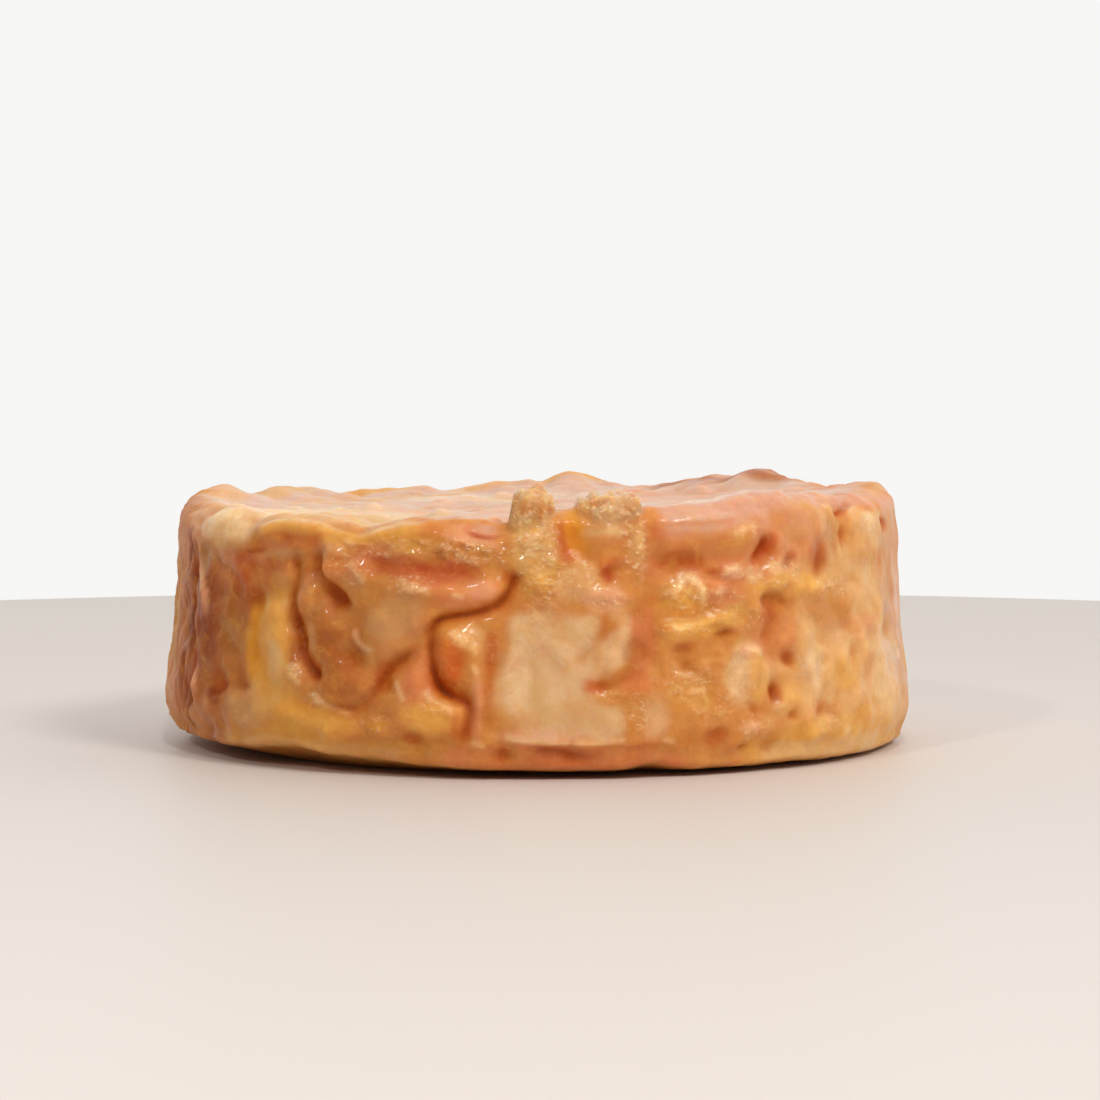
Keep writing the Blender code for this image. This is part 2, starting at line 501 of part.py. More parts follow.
def with_repeats(features):
    """The features, then those that the unseen side repeats. Each flip swaps a feature's two sides."""
    yield from features
    for repeat in REPEATS:
        swap = -1.0 if repeat.mirrored != repeat.upside_down else 1.0
        for feature in features:
            path = getattr(feature, "path", None) or (feature.at,)
            if not all(repeat.first <= each[0] <= repeat.last for each in path):
                continue
            moved = tuple(repeated_place(each, repeat) for each in path)
            if hasattr(feature, "lip"):
                yield feature._replace(path=moved, lip=swap * feature.lip)
            elif hasattr(feature, "path"):
                yield feature._replace(path=moved)
            else:
                yield feature._replace(at=moved[0], turn=swap * feature.turn)


def top_arcs():
    """Random arcs on the top face, as (angle, radius) paths."""
    chance = random.Random(ARC_SEED)
    for _ in range(ARC_COUNT):
        x, y = 2 * ARC_REACH, 0.0
        while math.hypot(x, y) > ARC_REACH:
            x, y = chance.uniform(-ARC_REACH, ARC_REACH), chance.uniform(-ARC_REACH, ARC_REACH)
        heading = chance.uniform(0.0, 2 * math.pi)
        bend = chance.uniform(-ARC_BEND, ARC_BEND)
        path = []
        for _ in range(round(chance.uniform(*ARC_LENGTH))):
            if math.hypot(x, y) > ARC_REACH:
                break
            path.append((math.degrees(math.atan2(x, -y)), math.hypot(x, y)))
            x, y = x + math.cos(heading), y + math.sin(heading)
            heading += bend
        height = chance.uniform(*ARC_HEIGHT) * chance.choice((-1.0, 1.0))
        if len(path) > 3:
            yield Roll(tuple(path), height, chance.uniform(*ARC_WIDTH))


def smoothness(points, rows):
    """From 0 to 1, how smooth the rind is."""
    smooth = np.zeros(len(points))
    for lump in with_repeats(list(SMOOTH.values())):
        which, made = lump_relief(points, lump, rows)
        smooth[which] = np.maximum(smooth[which], made)
    return smooth


def relief(points, normals, rows):
    """How far each point of the plain form moves along its normal, in millimetres."""
    moved = SWELL_HEIGHT * noise_at(points, SWELL_SIZE, 3.0)
    rough = 1.0 - smoothness(points, rows)
    moved += RIPPLE_HEIGHT * rough * noise_at(points, RIPPLE_SIZE, 17.0)
    moved += DIMPLE_HEIGHT * rough * noise_at(points, DIMPLE_SIZE, 53.0)
    moved += PLEAT_HEIGHT * pleats(points)
    for fold in with_repeats(list(FOLDS.values())):
        which, made = fold_relief(points, normals, line_on_side(fold.path, rows), fold)
        moved[which] += made
    for roll in with_repeats(list(ROLLS.values())):
        which, made = roll_relief(points, normals, line_on_side(roll.path, rows), roll)
        moved[which] += made
    for roll in (*TOP_ROLLS.values(), *top_arcs()):
        which, made = roll_relief(points, normals, line_on_top(roll.path, rows), roll)
        moved[which] += made
    for lump in with_repeats(list(LUMPS.values())):
        which, made = lump_relief(points, lump, rows)
        moved[which] += made
    return moved


def rises_round(angle, lumps):
    """The summed rises of a list of rim lumps at each angle."""
    rise = np.zeros(len(angle))
    for lump in lumps:
        off = (angle - lump.angle + 180.0) % 360.0 - 180.0
        rise += lump.rise * np.exp(-((off / lump.spread) ** 2))
    return rise


def edge_rise(points):
    """How far each point near the lower edge moves up."""
    angle = np.degrees(np.arctan2(points[:, 0], -points[:, 1]))
    radius = np.hypot(points[:, 0], points[:, 1])
    rise = EDGE_TILT * np.cos(np.radians(angle - EDGE_HIGH_ANGLE)) + rises_round(angle, EDGE_LUMPS)
    outside = smooth_step((radius - FOOT_RADIUS) / (TOE_RADIUS - FOOT_RADIUS))
    return rise * outside * smooth_step(1.0 - points[:, 2] / EDGE_TOP_HEIGHT)


def rim_rise(points):
    """How far each point near the rim moves up."""
    angle = np.degrees(np.arctan2(points[:, 0], -points[:, 1]))
    radius = np.hypot(points[:, 0], points[:, 1])
    rise = RIM_TILT * np.cos(np.radians(angle - RIM_HIGH_ANGLE)) + rises_round(angle, RIM_LUMPS)
    inside = smooth_step((radius - RIM_INNER_RADIUS) / (CREST_RADIUS - RIM_INNER_RADIUS))
    tilt_only = RIM_TILT * np.cos(np.radians(angle - RIM_HIGH_ANGLE)) * radius / CREST_RADIUS
    above = smooth_step((points[:, 2] - RIM_LOW_HEIGHT) / (CREST_HEIGHT - RIM_LOW_HEIGHT))
    return above * (inside * rise + (1.0 - inside) * tilt_only)


def pleats(points):
    """Thin upright ridges of the drier skin, from -1 in a valley to 1 on a ridge, and 0 elsewhere."""
    angle = np.degrees(np.arctan2(points[:, 0], -points[:, 1]))
    dry = np.zeros(len(points))
    for middle, half_width in PLEATED:
        off = np.abs((angle - middle + 180.0) % 360.0 - 180.0)
        dry = np.maximum(dry, smooth_step((half_width - off) / PLEAT_FADE))
    dry *= smooth_step((np.hypot(points[:, 0], points[:, 1]) - RIM_RADIUS) / 1.5)
    ridges = 1.0 - PLEAT_SHARPNESS * np.abs(noise_at(points * (1.0, 1.0, PLEAT_STRETCH), PLEAT_SIZE, 61.0))
    return dry * np.clip(ridges, -1.0, 1.0)


def knob_rise(points):
    """The steep crusty knobs on the front rim."""
    angle = np.degrees(np.arctan2(points[:, 0], -points[:, 1]))
    radius = np.hypot(points[:, 0], points[:, 1])
    made = np.zeros(len(points))
    above = smooth_step((points[:, 2] - SHOULDER_HEIGHT) / (CREST_HEIGHT - SHOULDER_HEIGHT - 1.0))
    for at, half_width, half_depth, height in RIM_KNOBS.values():
        u = np.radians(angle - at) * KNOB_RADIUS / half_width
        v = (radius - KNOB_RADIUS) / half_depth
        far = (u**4 + v**4) ** 0.25
        made = np.maximum(made, height * smooth_step((KNOB_FOOT - far) / KNOB_FLANK))
    return made * above


def add_crust(moved, rise):
    """Gives the raised knobs a broken crust: their points shift away from the knobs' middle and up or down."""
    which = np.nonzero(rise > 0.05)[0]
    radius = np.hypot(moved[which, 0], moved[which, 1])
    side = np.tanh(radius - KNOB_RADIUS)
    share = np.clip(rise[which] / CRUSTED_RISE, 0.0, 1.0)
    push = KNOB_LEAN * rise[which] + CRUST_HEIGHT * share * noise_at(moved[which], CRUST_SIZE, 71.0)
    moved[which, :2] += moved[which, :2] * (push * side / radius)[:, None]
    moved[which, 2] += CRUST_HEIGHT * share * noise_at(moved[which], CRUST_SIZE, 37.0)


def turned_grid(rows):
    """Points and outward normals of the plain form, row by row, then the two poles."""
    ahead = np.vstack([rows[1:], (0.0, CENTRE_HEIGHT)])
    behind = np.vstack([(0.0, 0.0), rows[:-1]])
    slope = ahead - behind
    slope /= np.linalg.norm(slope, axis=1)[:, None]
    angles = np.degrees(2 * math.pi * np.arange(COLUMNS) / COLUMNS)
    points = np.stack([place(angles, r, z) for r, z in rows])
    normals = np.stack([place(angles, dz, -dr) for dr, dz in slope])
    return points.reshape(-1, 3), normals.reshape(-1, 3)


def grid_faces(row_count):
    """Quads between rows and a fan at each pole, all facing out."""
    faces = []
    for row in range(row_count - 1):
        start, above = row * COLUMNS, (row + 1) * COLUMNS
        for column in range(COLUMNS):
            after = (column + 1) % COLUMNS
            faces.append((start + column, start + after, above + after, above + column))
    low_pole, high_pole = row_count * COLUMNS, row_count * COLUMNS + 1
    last = (row_count - 1) * COLUMNS
    for column in range(COLUMNS):
        after = (column + 1) % COLUMNS
        faces.append((after, column, low_pole))
        faces.append((last + column, last + after, high_pole))
    return faces


def shaped_points():
    """All the mesh's points in millimetres, and the number of rows."""
    rows = profile()
    points, normals = turned_grid(rows)
    # The base stays flat, and the relief fades in above it.
    free = smooth_step(points[:, 2] / INSTEP_HEIGHT)
    moved = points + normals * (relief(points, normals, rows) * free)[:, None]
    moved[:, 2] += rim_rise(points) + edge_rise(points)
    knobs = knob_rise(points)
    moved[:, 2] += knobs
    add_crust(moved, knobs)
    moved[:, 2] = np.maximum(moved[:, 2], 0.0)
    last_row = moved[-COLUMNS:]
    poles = np.array([(0.0, 0.0, 0.0), last_row.mean(0)])
    return np.vstack([moved, poles]), len(rows)


def rind_material():
    material = bpy.data.materials.new("rind")
    material.use_nodes = True
    shader = material.node_tree.nodes["Principled BSDF"]
    shader.inputs["Base Color"].default_value = (0.55, 0.25, 0.09, 1.0)
    shader.inputs["Roughness"].default_value = 0.35
    shader.inputs["Metallic"].default_value = 0.0
    return material


def level_base(mesh):
    """Puts the points of the base back at height 0, from which the thinning moves them a little."""
    for vertex in mesh.vertices:
        if vertex.co.z < BASE_SLACK * MM:
            vertex.co.z = 0.0


def build_cheese():
    points, row_count = shaped_points()
    mesh = bpy.data.meshes.new(SURFACE)
    mesh.from_pydata((points * MM).tolist(), [], grid_faces(row_count))
    mesh.materials.append(rind_material())
    mesh.shade_smooth()
    mesh.set_sharp_from_angle(angle=CREASE_ANGLE)
    cheese = bpy.data.objects.new(SURFACE, mesh)
    bpy.context.scene.collection.objects.link(cheese)
    mesh.calc_loop_triangles()
    thinned = cheese.modifiers.new("Thinned", "DECIMATE")
    thinned.ratio = TRIANGLES / len(mesh.loop_triangles)
    evaluated = cheese.evaluated_get(bpy.context.evaluated_depsgraph_get())
    cheese.data = bpy.data.meshes.new_from_object(evaluated)
    cheese.modifiers.clear()
    level_base(cheese.data)


def main():
    for old in list(bpy.data.objects):
        bpy.data.objects.remove(old, do_unlink=True)
    build_cheese()


main()
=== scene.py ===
"""The looks of a whole small washed-rind soft cheese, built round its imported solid.

The rind repeats the solid's own form at a finer grain and adds the small wrinkles, the crusty
grain, the colours and the wet sheen. Places on the side are (angle, height) and places on the top
face are (angle, radius): the angle is in degrees from the front, -Y, and grows towards +X.
Heights and radii are in millimetres.
"""

import math
import random
from typing import NamedTuple

import bpy
import numpy as np
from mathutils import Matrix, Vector, noise


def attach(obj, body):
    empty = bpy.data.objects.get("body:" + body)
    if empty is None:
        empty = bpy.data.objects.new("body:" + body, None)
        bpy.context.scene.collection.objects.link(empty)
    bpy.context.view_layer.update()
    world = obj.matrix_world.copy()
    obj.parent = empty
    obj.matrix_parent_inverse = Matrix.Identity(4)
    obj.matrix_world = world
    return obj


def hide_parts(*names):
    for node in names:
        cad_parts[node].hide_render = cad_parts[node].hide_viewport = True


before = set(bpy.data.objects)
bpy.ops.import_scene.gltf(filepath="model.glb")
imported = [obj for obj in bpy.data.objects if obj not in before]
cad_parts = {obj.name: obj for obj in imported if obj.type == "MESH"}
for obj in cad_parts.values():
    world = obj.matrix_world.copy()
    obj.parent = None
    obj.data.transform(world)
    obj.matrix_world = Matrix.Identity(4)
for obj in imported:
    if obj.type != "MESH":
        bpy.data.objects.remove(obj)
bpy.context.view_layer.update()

MM = 0.001

# The plain form, as radius and height in millimetres.
FOOT_RADIUS = 42.0
TOE_RADIUS, TOE_HEIGHT = 50.4, 1.4
INSTEP_RADIUS, INSTEP_HEIGHT = 51.8, 3.2
BELLY_RADIUS, BELLY_HEIGHT = 52.8, 7.5
WAIST_RADIUS, WAIST_HEIGHT = 51.7, 19.0
SHOULDER_RADIUS, SHOULDER_HEIGHT = 50.9, 31.0
RIM_RADIUS, RIM_HEIGHT = 49.3, 34.1
CREST_RADIUS, CREST_HEIGHT = 46.2, 34.9
DISH_RADIUS, DISH_HEIGHT = 38.0, 33.8
CENTRE_HEIGHT = 33.3

# The rim stands higher on the right than on the left and has lumps all round.
RIM_TILT, RIM_HIGH_ANGLE = 1.1, 75.0
RIM_INNER_RADIUS, RIM_LOW_HEIGHT = 33.0, 26.0

# The lower edge is lifted, most on the left.
EDGE_TILT, EDGE_HIGH_ANGLE = 0.9, -90.0
EDGE_TOP_HEIGHT = 9.0

# The mesh: spacing along the profile and columns round it, closer together at the front.
ROW_STEP = 0.42
SHOULDER_STEP_SHARE = 0.55
TOP_STEP_GROWTH = 3.4
COLUMNS = 590
FRONT_CROWDING = 0.35

# The flat base: its points in the profile, and the shares of its radius where the mesh has a ring.
BASE_POINTS = 6
BASE_RINGS = (0.05, 0.4, 0.8)
# How close the last ring may come to the middle of the top.
LAST_RING = 0.6


class Fold(NamedTuple):
    """A crease between two rounded lobes, steep under the lobe that stands over the other.

    A lip above 0 raises the lobe on the path's left and one under 0 that on its right. A third
    number at a place is the fold's share of its depth there.
    """

    path: tuple
    depth: float
    width: float = 1.1
    lip: float = 0.0


class Roll(NamedTuple):
    """A rounded ridge, or with a negative height a rounded channel, along a path."""

    path: tuple
    height: float
    width: float


class Lump(NamedTuple):
    """A rounded swelling, or with a negative height a dent, of the given half sizes."""

    at: tuple
    half_width: float
    half_height: float
    height: float
    turn: float = 0.0


class RimLump(NamedTuple):
    """A rise of the rim or of the lower edge, with its half width in degrees."""

    angle: float
    rise: float
    spread: float


class Knob(NamedTuple):
    """A crusty knob on the front rim: its middle in degrees, and its half sizes and height."""

    angle: float
    half_width: float
    half_depth: float
    height: float


class Streak(NamedTuple):
    """A stroke of colour along a path, with its half width in millimetres."""

    colour: str
    path: tuple
    half_width: float
    strength: float = 1.0


class Dab(NamedTuple):
    """A soft oval of colour of the given half sizes in millimetres."""

    colour: str
    at: tuple
    half_width: float
    half_height: float
    strength: float = 1.0
    turn: float = 0.0


class Repeat(NamedTuple):
    """A stretch of the front whose features come again on the unseen side, centred at an angle."""

    first: float
    last: float
    centre: float
    mirrored: bool
    upside_down: bool


def features(kind, rows):
    """One feature of the kind for each row. A row's name says which one it is."""
    return [kind(*row) for row in rows.values()]


RIM_LUMPS = [RimLump(*row) for row in (
    (-165, -0.9, 5), (-156, -0.5, 5), (-141, -0.7, 5), (-127, 1, 6), (-114, -0.5, 4), (-99, 1.9, 8),
    (-80, 0.8, 12), (-51, -0.8, 4), (-38, 0.2, 6), (-28, -0.7, 3.5), (-26, -1, 24), (-6, -1.2, 4.5),
    (22, 0.4, 6), (42, 1, 11), (90, 0.9, 8), (113, -0.4, 6), (134, 1.6, 5), (145, 1, 6), (150, -0.3, 8),
    (159, -1, 6), (173.5, 1.6, 4),
)]

EDGE_LUMPS = [RimLump(*row) for row in (
    (-41, 1.1, 7), (-27, 0.6, 8), (17, 0.7, 3.5), (44, 0.3, 4), (120, 0.7, 9), (165, 0.8, 8),
    (-140, 0.6, 10),
)]

FOLDS = features(Fold, {
    "hook": (((-40.9, 30, 0.4), (-39.5, 27.6, 0.9), (-39.2, 25.2, 0.6), (-40, 23.2, 0.7),
        (-39.5, 20.6, 1), (-38.4, 18.2, 1.3), (-37.6, 16, 0.9), (-36.2, 14.2, 1.1),
        (-34.4, 12.9, 1.3), (-32.4, 12.1, 0.8)), 1.2, 0.55, -0.35),
    "lobe_edge": (((-33.2, 31, 0.7), (-34.3, 29.4, 0.9), (-34.4, 27.2, 0.9), (-33.2, 25.6, 0.8),
        (-31.4, 24.4, 1), (-29.6, 23.1, 1.2), (-27.8, 22.3, 0.7)), 1.15, 0.6, 0.5),
    "s_bend_upper": (((-3.4, 28.4, 0.3), (-3.9, 26.2, 0.7), (-5.2, 24, 1), (-7.6, 22.6, 0.9),
        (-11.2, 21.8, 0.9), (-14.4, 21.2, 1), (-16, 19.8, 0.8), (-17.4, 18, 0.5)), 1.2, 0.42, -0.6),
    "s_bend_lower": (((-15.4, 20.2, 0.6), (-16, 18, 0.8), (-15.7, 15.6, 0.8), (-15, 13, 1.3),
        (-13.7, 11.4, 1.5), (-11.9, 10.6, 1.2), (-10.4, 10, 1.1), (-10.1, 8.4, 0.8), (-10.7, 6, 0.6),
        (-11.2, 3.4, 0.4)), 1.5, 0.65, -0.2),
    "tongue_edge": (((-16.8, 18.6, 0.3), (-18.6, 17, 0.6), (-20.4, 15.9, 1.1), (-22.6, 14.2, 0.9),
        (-24.2, 12.2, 1), (-25.4, 10.5, 0.8), (-27.6, 9.4, 0.7), (-30.4, 9.2, 0.8),
        (-33.2, 10, 0.5)), 0.85, 0.75, -0.5),
    "tongue_crease": (((-31.6, 16.8), (-29, 15.5), (-26.8, 14.6), (-24.8, 14.8)), 0.6, 1.1, -0.2),
    "tongue_side": (((-37.6, 19.2), (-36.8, 17.8), (-37.2, 16.6), (-36.2, 15.4)), 0.5, 0.6, 0.2),
    "egg_right": (((-34.2, 25.6), (-32.6, 23.8), (-32.4, 21.8), (-33.6, 20.4)), 0.6, 1.1, -0.2),
    "rim_notch": (((-15.3, 30.8), (-14.4, 29.6), (-13.2, 28.5)), 0.5, 0.45, 0.2),
    "column_left": (((-6.3, 21), (-6.5, 18), (-7, 14), (-7.3, 9), (-7.2, 5)), 0.2, 0.9),
    "foot_crease": (((-1.6, 3.2), (0.4, 4.2), (2.4, 4.1), (5.4, 3.4), (10, 3)), 0.4, 0.9, 0.2),
    "foot_crease_left": (((-7.4, 2.4), (-5, 3.3), (-2.4, 2.6)), 0.3, 0.9, 0.1),
    "patch_inner": (((8.8, 22.4), (9.4, 20.4), (8.4, 18), (6.4, 16.2), (4.6, 14.8)), 0.25, 0.7),
    "patch_mark": (((-0.6, 19), (1.2, 17), (3.2, 14.6), (4.4, 13)), 0.25, 0.8),
    "patch_mark_low": (((-3.2, 13.2), (-1.8, 15.4), (0, 13.2)), 0.2, 0.8),
    "red_dent": (((7, 12.9, 0.6), (8.4, 12.3, 1.5), (10.2, 12.2, 0.9), (13, 13.3, 0.5),
        (16.2, 14.6, 0.3)), 0.65, 0.7, -0.25),
    "patch_right": (((14.6, 14), (15.4, 17.5), (15, 21), (13.4, 24)), 0.3, 1.3),
    "slash": (((38.2, 30.9, 0.6), (36.4, 30.3), (34.6, 28.9, 1.2), (32, 27.6, 0.7)), 0.55, 0.9, -0.35),
    "slash_side": (((37.8, 30.6), (37, 29.4), (35.4, 28.4)), 0.4, 1.3),
    "arch": (((33.8, 22), (34.6, 23.2), (36.2, 23.6), (38.4, 23.4), (40.2, 22.6, 0.6),
        (43, 21.6, 0.3)), 0.55, 0.75, 0.4),
    "arch_stem": (((35.6, 23), (36.4, 21.2), (36.2, 19.4), (33.4, 17.7)), 0.4, 1.3, -0.2),
    "side_crease": (((26.2, 18.6), (28.2, 19.2), (30.6, 18.8)), 0.45, 0.8, 0.4),
    "side_crease_low": (((18.8, 17.4), (21.4, 17.2), (24.2, 17.6)), 0.35, 0.8, 0.3),
    "side_crease_foot": (((20.4, 14.8), (22.4, 14.8), (24.2, 15.4)), 0.35, 0.8, 0.2),
    "low_arch": (((30.6, 8.2), (32.2, 8.6), (33.4, 7.6), (34.6, 6.2)), 0.4, 0.5, -0.3),
    "low_arch_right": (((44, 6), (45.2, 7), (46.8, 7.5), (49.4, 6.8), (51.4, 6)), 0.5, 0.5, -0.3),
    "low_smile": (((33.2, 3.6), (36, 3.2), (39.2, 3.8)), 0.4, 0.6, -0.2),
    "crust_stem": (((54.6, 32), (55.4, 30.8), (54.8, 29), (53.6, 27.8)), 0.3, 0.6, 0.5),
    "pink_scoop_edge": (((-11.6, 34), (-9.6, 33.2), (-6.6, 33.1), (-4.6, 33.8)), 0.5, 0.5),
    "crust_brow": (((53.4, 31), (54.4, 32.4), (56.4, 33.4), (59.6, 34), (62.4, 34.2)), 0.6, 0.5, -0.35),
    "left_low": (((-51.5, 10.6), (-48.5, 10.9), (-45.8, 11.6)), 0.5, 1, 0.2),
    "left_valley": (((-52, 11.8), (-54.6, 9.8), (-58.4, 8)), 0.9, 1, 0.3),
    "left_brow": (((-60.6, 28.4), (-56.6, 27), (-53, 25.6), (-49.6, 25.8)), 0.4, 1.2, 0.2),
    "left_pleat": (((-65.4, 30), (-66.6, 24), (-64.8, 17), (-63.2, 12), (-65, 5.5)), 0.5, 0.6, 0.3),
    "left_pleat_far": (((-71, 30.5), (-74.5, 24), (-71, 16), (-75, 8)), 0.4, 0.6, 0.2),
    "left_pleat_edge": (((-84, 29), (-81, 22), (-85, 14), (-82, 7)), 0.4, 0.6, 0.2),
})

ROLLS = features(Roll, {
    "pale_ridge": (((-64.5, 28.4), (-62.4, 25), (-61, 21.5), (-61.4, 17.5)), 0.6, 0.9),
    "pale_ridge_low": (((-62.6, 14), (-62, 10.5), (-61, 7.8)), 0.6, 0.8),
    "yellow_ridge": (((-43.4, 24), (-42.6, 19), (-41, 15), (-38.6, 11.6)), 0.7, 2.3),
    "pink_valley": (((-27.5, 28.6), (-23, 28.2), (-19, 27.9), (-15, 26.9), (-7.5, 27.6)), -0.4, 1.4),
    "left_rim_roll": (((-49, 32.4), (-41, 33.6), (-33, 33.2)), 0.45, 1.2),
    "mid_rim_roll": (((-27, 32.6), (-21, 33.4), (-15.6, 33)), 0.5, 1.4),
    "right_rim_roll": (((16, 33.2), (24, 32.9), (32, 33.6)), 0.35, 1.2),
    "brow_band": (((17, 30.2), (24, 30.6), (31, 30.8), (36, 32.2)), 0.4, 1.3),
    "column": (((-9, 18.6), (-8.7, 15), (-8.6, 9), (-8.6, 4.6)), 0.4, 1),
    "drip_left": (((-0.4, 34), (-0.2, 30), (0, 26.5), (0.4, 23.6)), 0.6, 2.3),
    "drip_mid": (((9.8, 34.4), (9.4, 31.4), (10.2, 29.4)), 0.6, 2.4),
    "drip_right": (((15.2, 34.4), (15, 30.5), (15.2, 27.4)), 0.5, 0.9),
    "drip_gap": (((5, 34.8), (5.4, 31.8), (7, 29.2), (10, 27.6)), -0.35, 1.1),
    "yellow_shelf": (((17.4, 20.4), (20.8, 19.7), (24.6, 20.3), (31, 21.6)), 0.5, 0.9),
    "yellow_brow": (((34, 25), (38, 25.6), (43, 24.6), (50, 24)), 0.5, 1.4),
    "low_shelf": (((41, 4.4), (47, 4.8), (54, 3.8)), 0.5, 1.2),
    "patch_ledge": (((-5.4, 5.5), (-1, 5.2), (5, 4.9), (11.5, 5.1), (19, 4.9)), 0.2, 0.45),
    "lower_lip": (((-64, 2.6), (-55, 2.6), (-46, 2.8), (-39, 3), (-30, 2.4)), 0.4, 0.9),
    "crust_left": (((53.4, 31.6), (53.2, 29.6), (52.4, 27.4)), 0.4, 0.8),
    "glint_lump_left": (((19.2, 23.6), (20.6, 25), (22.6, 26.3)), 0.4, 0.6),
    "glint_lump_right": (((22.6, 26.3), (24.4, 24.6), (25, 22)), 0.4, 0.6),
    "pillow_left": (((29.2, 10.4), (30.2, 12.8), (30.8, 15.4)), 0.4, 0.8),
    "pillow_right": (((35.4, 15.6), (35.4, 12.8), (35, 10.4)), 0.35, 0.8),
    "ribbon": (((42.4, 17.8), (43.8, 14), (45, 10.6), (45.2, 8)), 0.4, 1.1),
    "ribbon_far": (((50.4, 19), (51.8, 15), (50.8, 11.4)), 0.3, 1.4),
    "side_rib": (((61, 24), (64, 20), (62, 15), (66, 10)), 0.2, 1.6),
    "side_rib_far": (((73, 26), (76, 20), (74, 13)), 0.25, 1.4),
    "side_rib_low": (((55, 19), (58, 16), (57, 11)), 0.35, 1.4),
})

LUMPS = features(Lump, {
    "pink_lobe": ((-12, 25), 7, 1.6, 0.7, 4),
    "pink_lobe_left": ((-30.2, 27.6), 3.6, 2.8, 0.8),
    "tan_lobe": ((-22.5, 20.6), 4.4, 3.4, 0.7, -25),
    "tan_lobe_low": ((-31.5, 17.8), 4.2, 2.6, 0.5, 15),
    "egg": ((-36.4, 22.8), 2.2, 2.6, 0.8),
    "egg_top": ((-37, 27.4), 1.5, 2.4, 0.4),
    "tongue_tip": ((-29.4, 12.2), 4, 2.4, 0.7),
    "orange_lobe": ((-12.9, 15.8), 2.6, 4.6, 1.1, -4),
    "lower_band": ((-18.4, 11.4), 2.4, 4.2, 0.5, 14),
    "lower_pad": ((-16, 7.8), 3.6, 2.2, 0.5),
    "left_pad": ((-33, 6.2), 5.4, 2.4, 0.6),
    "mid_pad": ((-25, 6), 3.4, 2.6, 0.3),
    "left_belly": ((-49, 7.2), 6, 2.8, 0.4),
    "pale_lobe": ((11.6, 17.2), 1.6, 4, 0.5, -38),
    "patch_hollow": ((1, 13), 6.5, 7.5, -0.4),
    "grain_lump": ((10.2, 24.4), 2.4, 1.1, 0.4),
    "glint_lump": ((22, 24.2), 2.6, 1.6, 0.4),
    "brow_lump": ((29.8, 27), 1.6, 0.8, 0.5),
    "brow_lump_right": ((37.6, 27.2), 2.6, 1, 0.5),
    "right_pillow": ((32.6, 13.2), 1.8, 3.4, 0.5, -12),
    "right_pillow_top": ((32.6, 16.5), 2.4, 0.8, 0.4),
    "right_swell": ((50, 11), 4.4, 4.4, 0.5),
    "right_swell_high": ((58, 21), 4, 3.6, 0.4),
    "right_foot": ((32.2, 6.2), 1.9, 1, 0.5),
    "crust_bit": ((62.8, 31.5), 2.6, 0.9, 0.5, -14),
    "crust_pad": ((60, 28.6), 3.4, 3, 0.3),
    "corner_lump": ((-62, 32.4), 8, 3.2, 0.4),
    "right_corner": ((92, 31.5), 12, 4.5, -0.35),
    "left_shoulder": ((-90, 33), 12, 4, 0.3),
    "left_flank": ((-91, 8.6), 11, 5, 0.2),
    "knob": ((48, 30.8), 1.2, 0.8, 0.4),
    "s_end": ((-4, 26.6), 1.5, 1.7, -0.5),
    "lobe_hole": ((-30.4, 22.7), 1.9, 1.1, -0.45, -16),
    "left_slot": ((-47, 21.9), 1.2, 2, -0.6, 14),
    "left_slot_low": ((-46.8, 16.4), 1, 3, -0.3),
    "left_slot_high": ((-48.6, 29.3), 2.2, 0.6, -0.4),
    "red_dimple": ((-18, 5.3), 1.6, 1.2, -0.35),
    "drip_dent": ((10.4, 27), 1.8, 0.9, -0.9, 25),
    "brow_dent": ((21.8, 28), 2.8, 1.1, -0.6, -6),
    "brow_dent_low": ((26.6, 26.6), 1.6, 0.6, -0.5, -15),
    "pit_mid": ((40.7, 27.9), 1.4, 0.6, -0.6, 18),
    "pit_small": ((43.4, 29.4), 0.8, 0.6, -0.4),
    "pit_deep": ((47.9, 27.4), 1.8, 1.9, -0.9),
    "pit_wedge": ((37, 10.8), 0.9, 1.4, -0.9, 10),
    "pit_tail": ((40, 14.9), 1.4, 1, -0.7, -30),
    "pit_low": ((40.4, 7.4), 0.9, 0.6, -0.6),
    "pit_right": ((47.6, 14.2), 1, 0.8, -0.4),
    "pit_right_high": ((46, 17.2), 0.8, 0.9, -0.3),
    "broad_dent": ((26, 5.4), 2.4, 1.4, -0.5),
    "foot_pit": ((31.2, 3.7), 0.9, 0.5, -0.6),
    "arch_dent": ((37.4, 20.6), 2.4, 2.2, -0.4),
    "left_dent_low": ((-65, 8.4), 2, 1.9, -0.5),
    "left_dent_mid": ((-68.4, 17), 2.2, 3.2, -0.4),
    "left_dent_top": ((-70, 28.6), 2.4, 2.4, -0.3),
    "left_dent_far": ((-75, 11.8), 2.2, 1.8, -0.4),
    "left_dent_rim": ((-62.6, 28.4), 1.5, 1, -0.4),
    "right_notch": ((71, 31.2), 1.6, 0.7, -0.6),
    "right_hollow": ((76, 16.4), 1.8, 1, -0.25),
    "right_dent": ((57, 24.6), 1.4, 1, -0.4),
    "right_dent_mid": ((69, 17), 1.4, 2, -0.5, 20),
    "right_dent_low": ((61, 7.4), 1.8, 0.9, -0.5, -14),
    "right_dent_high": ((67, 27), 1.2, 1.6, -0.4, -20),
})

# Stretches without ripples: a height here is a share of smoothness.
SMOOTH = features(Lump, {
    "patch": ((2, 13.5), 9, 9, 0.9),
    "brow": ((24, 30.6), 8, 3.4, 0.7),
    "yellow_strip": ((-42, 16), 4, 8, 0.6),
    "pink_lobe": ((-12, 24.8), 6, 2, 0.6),
    "lobes": ((-22, 19), 9, 6, 0.5),
    "right_edge": ((90, 17), 18, 20, 0.9),
    "left_edge": ((-90, 17), 14, 20, 0.7),
})

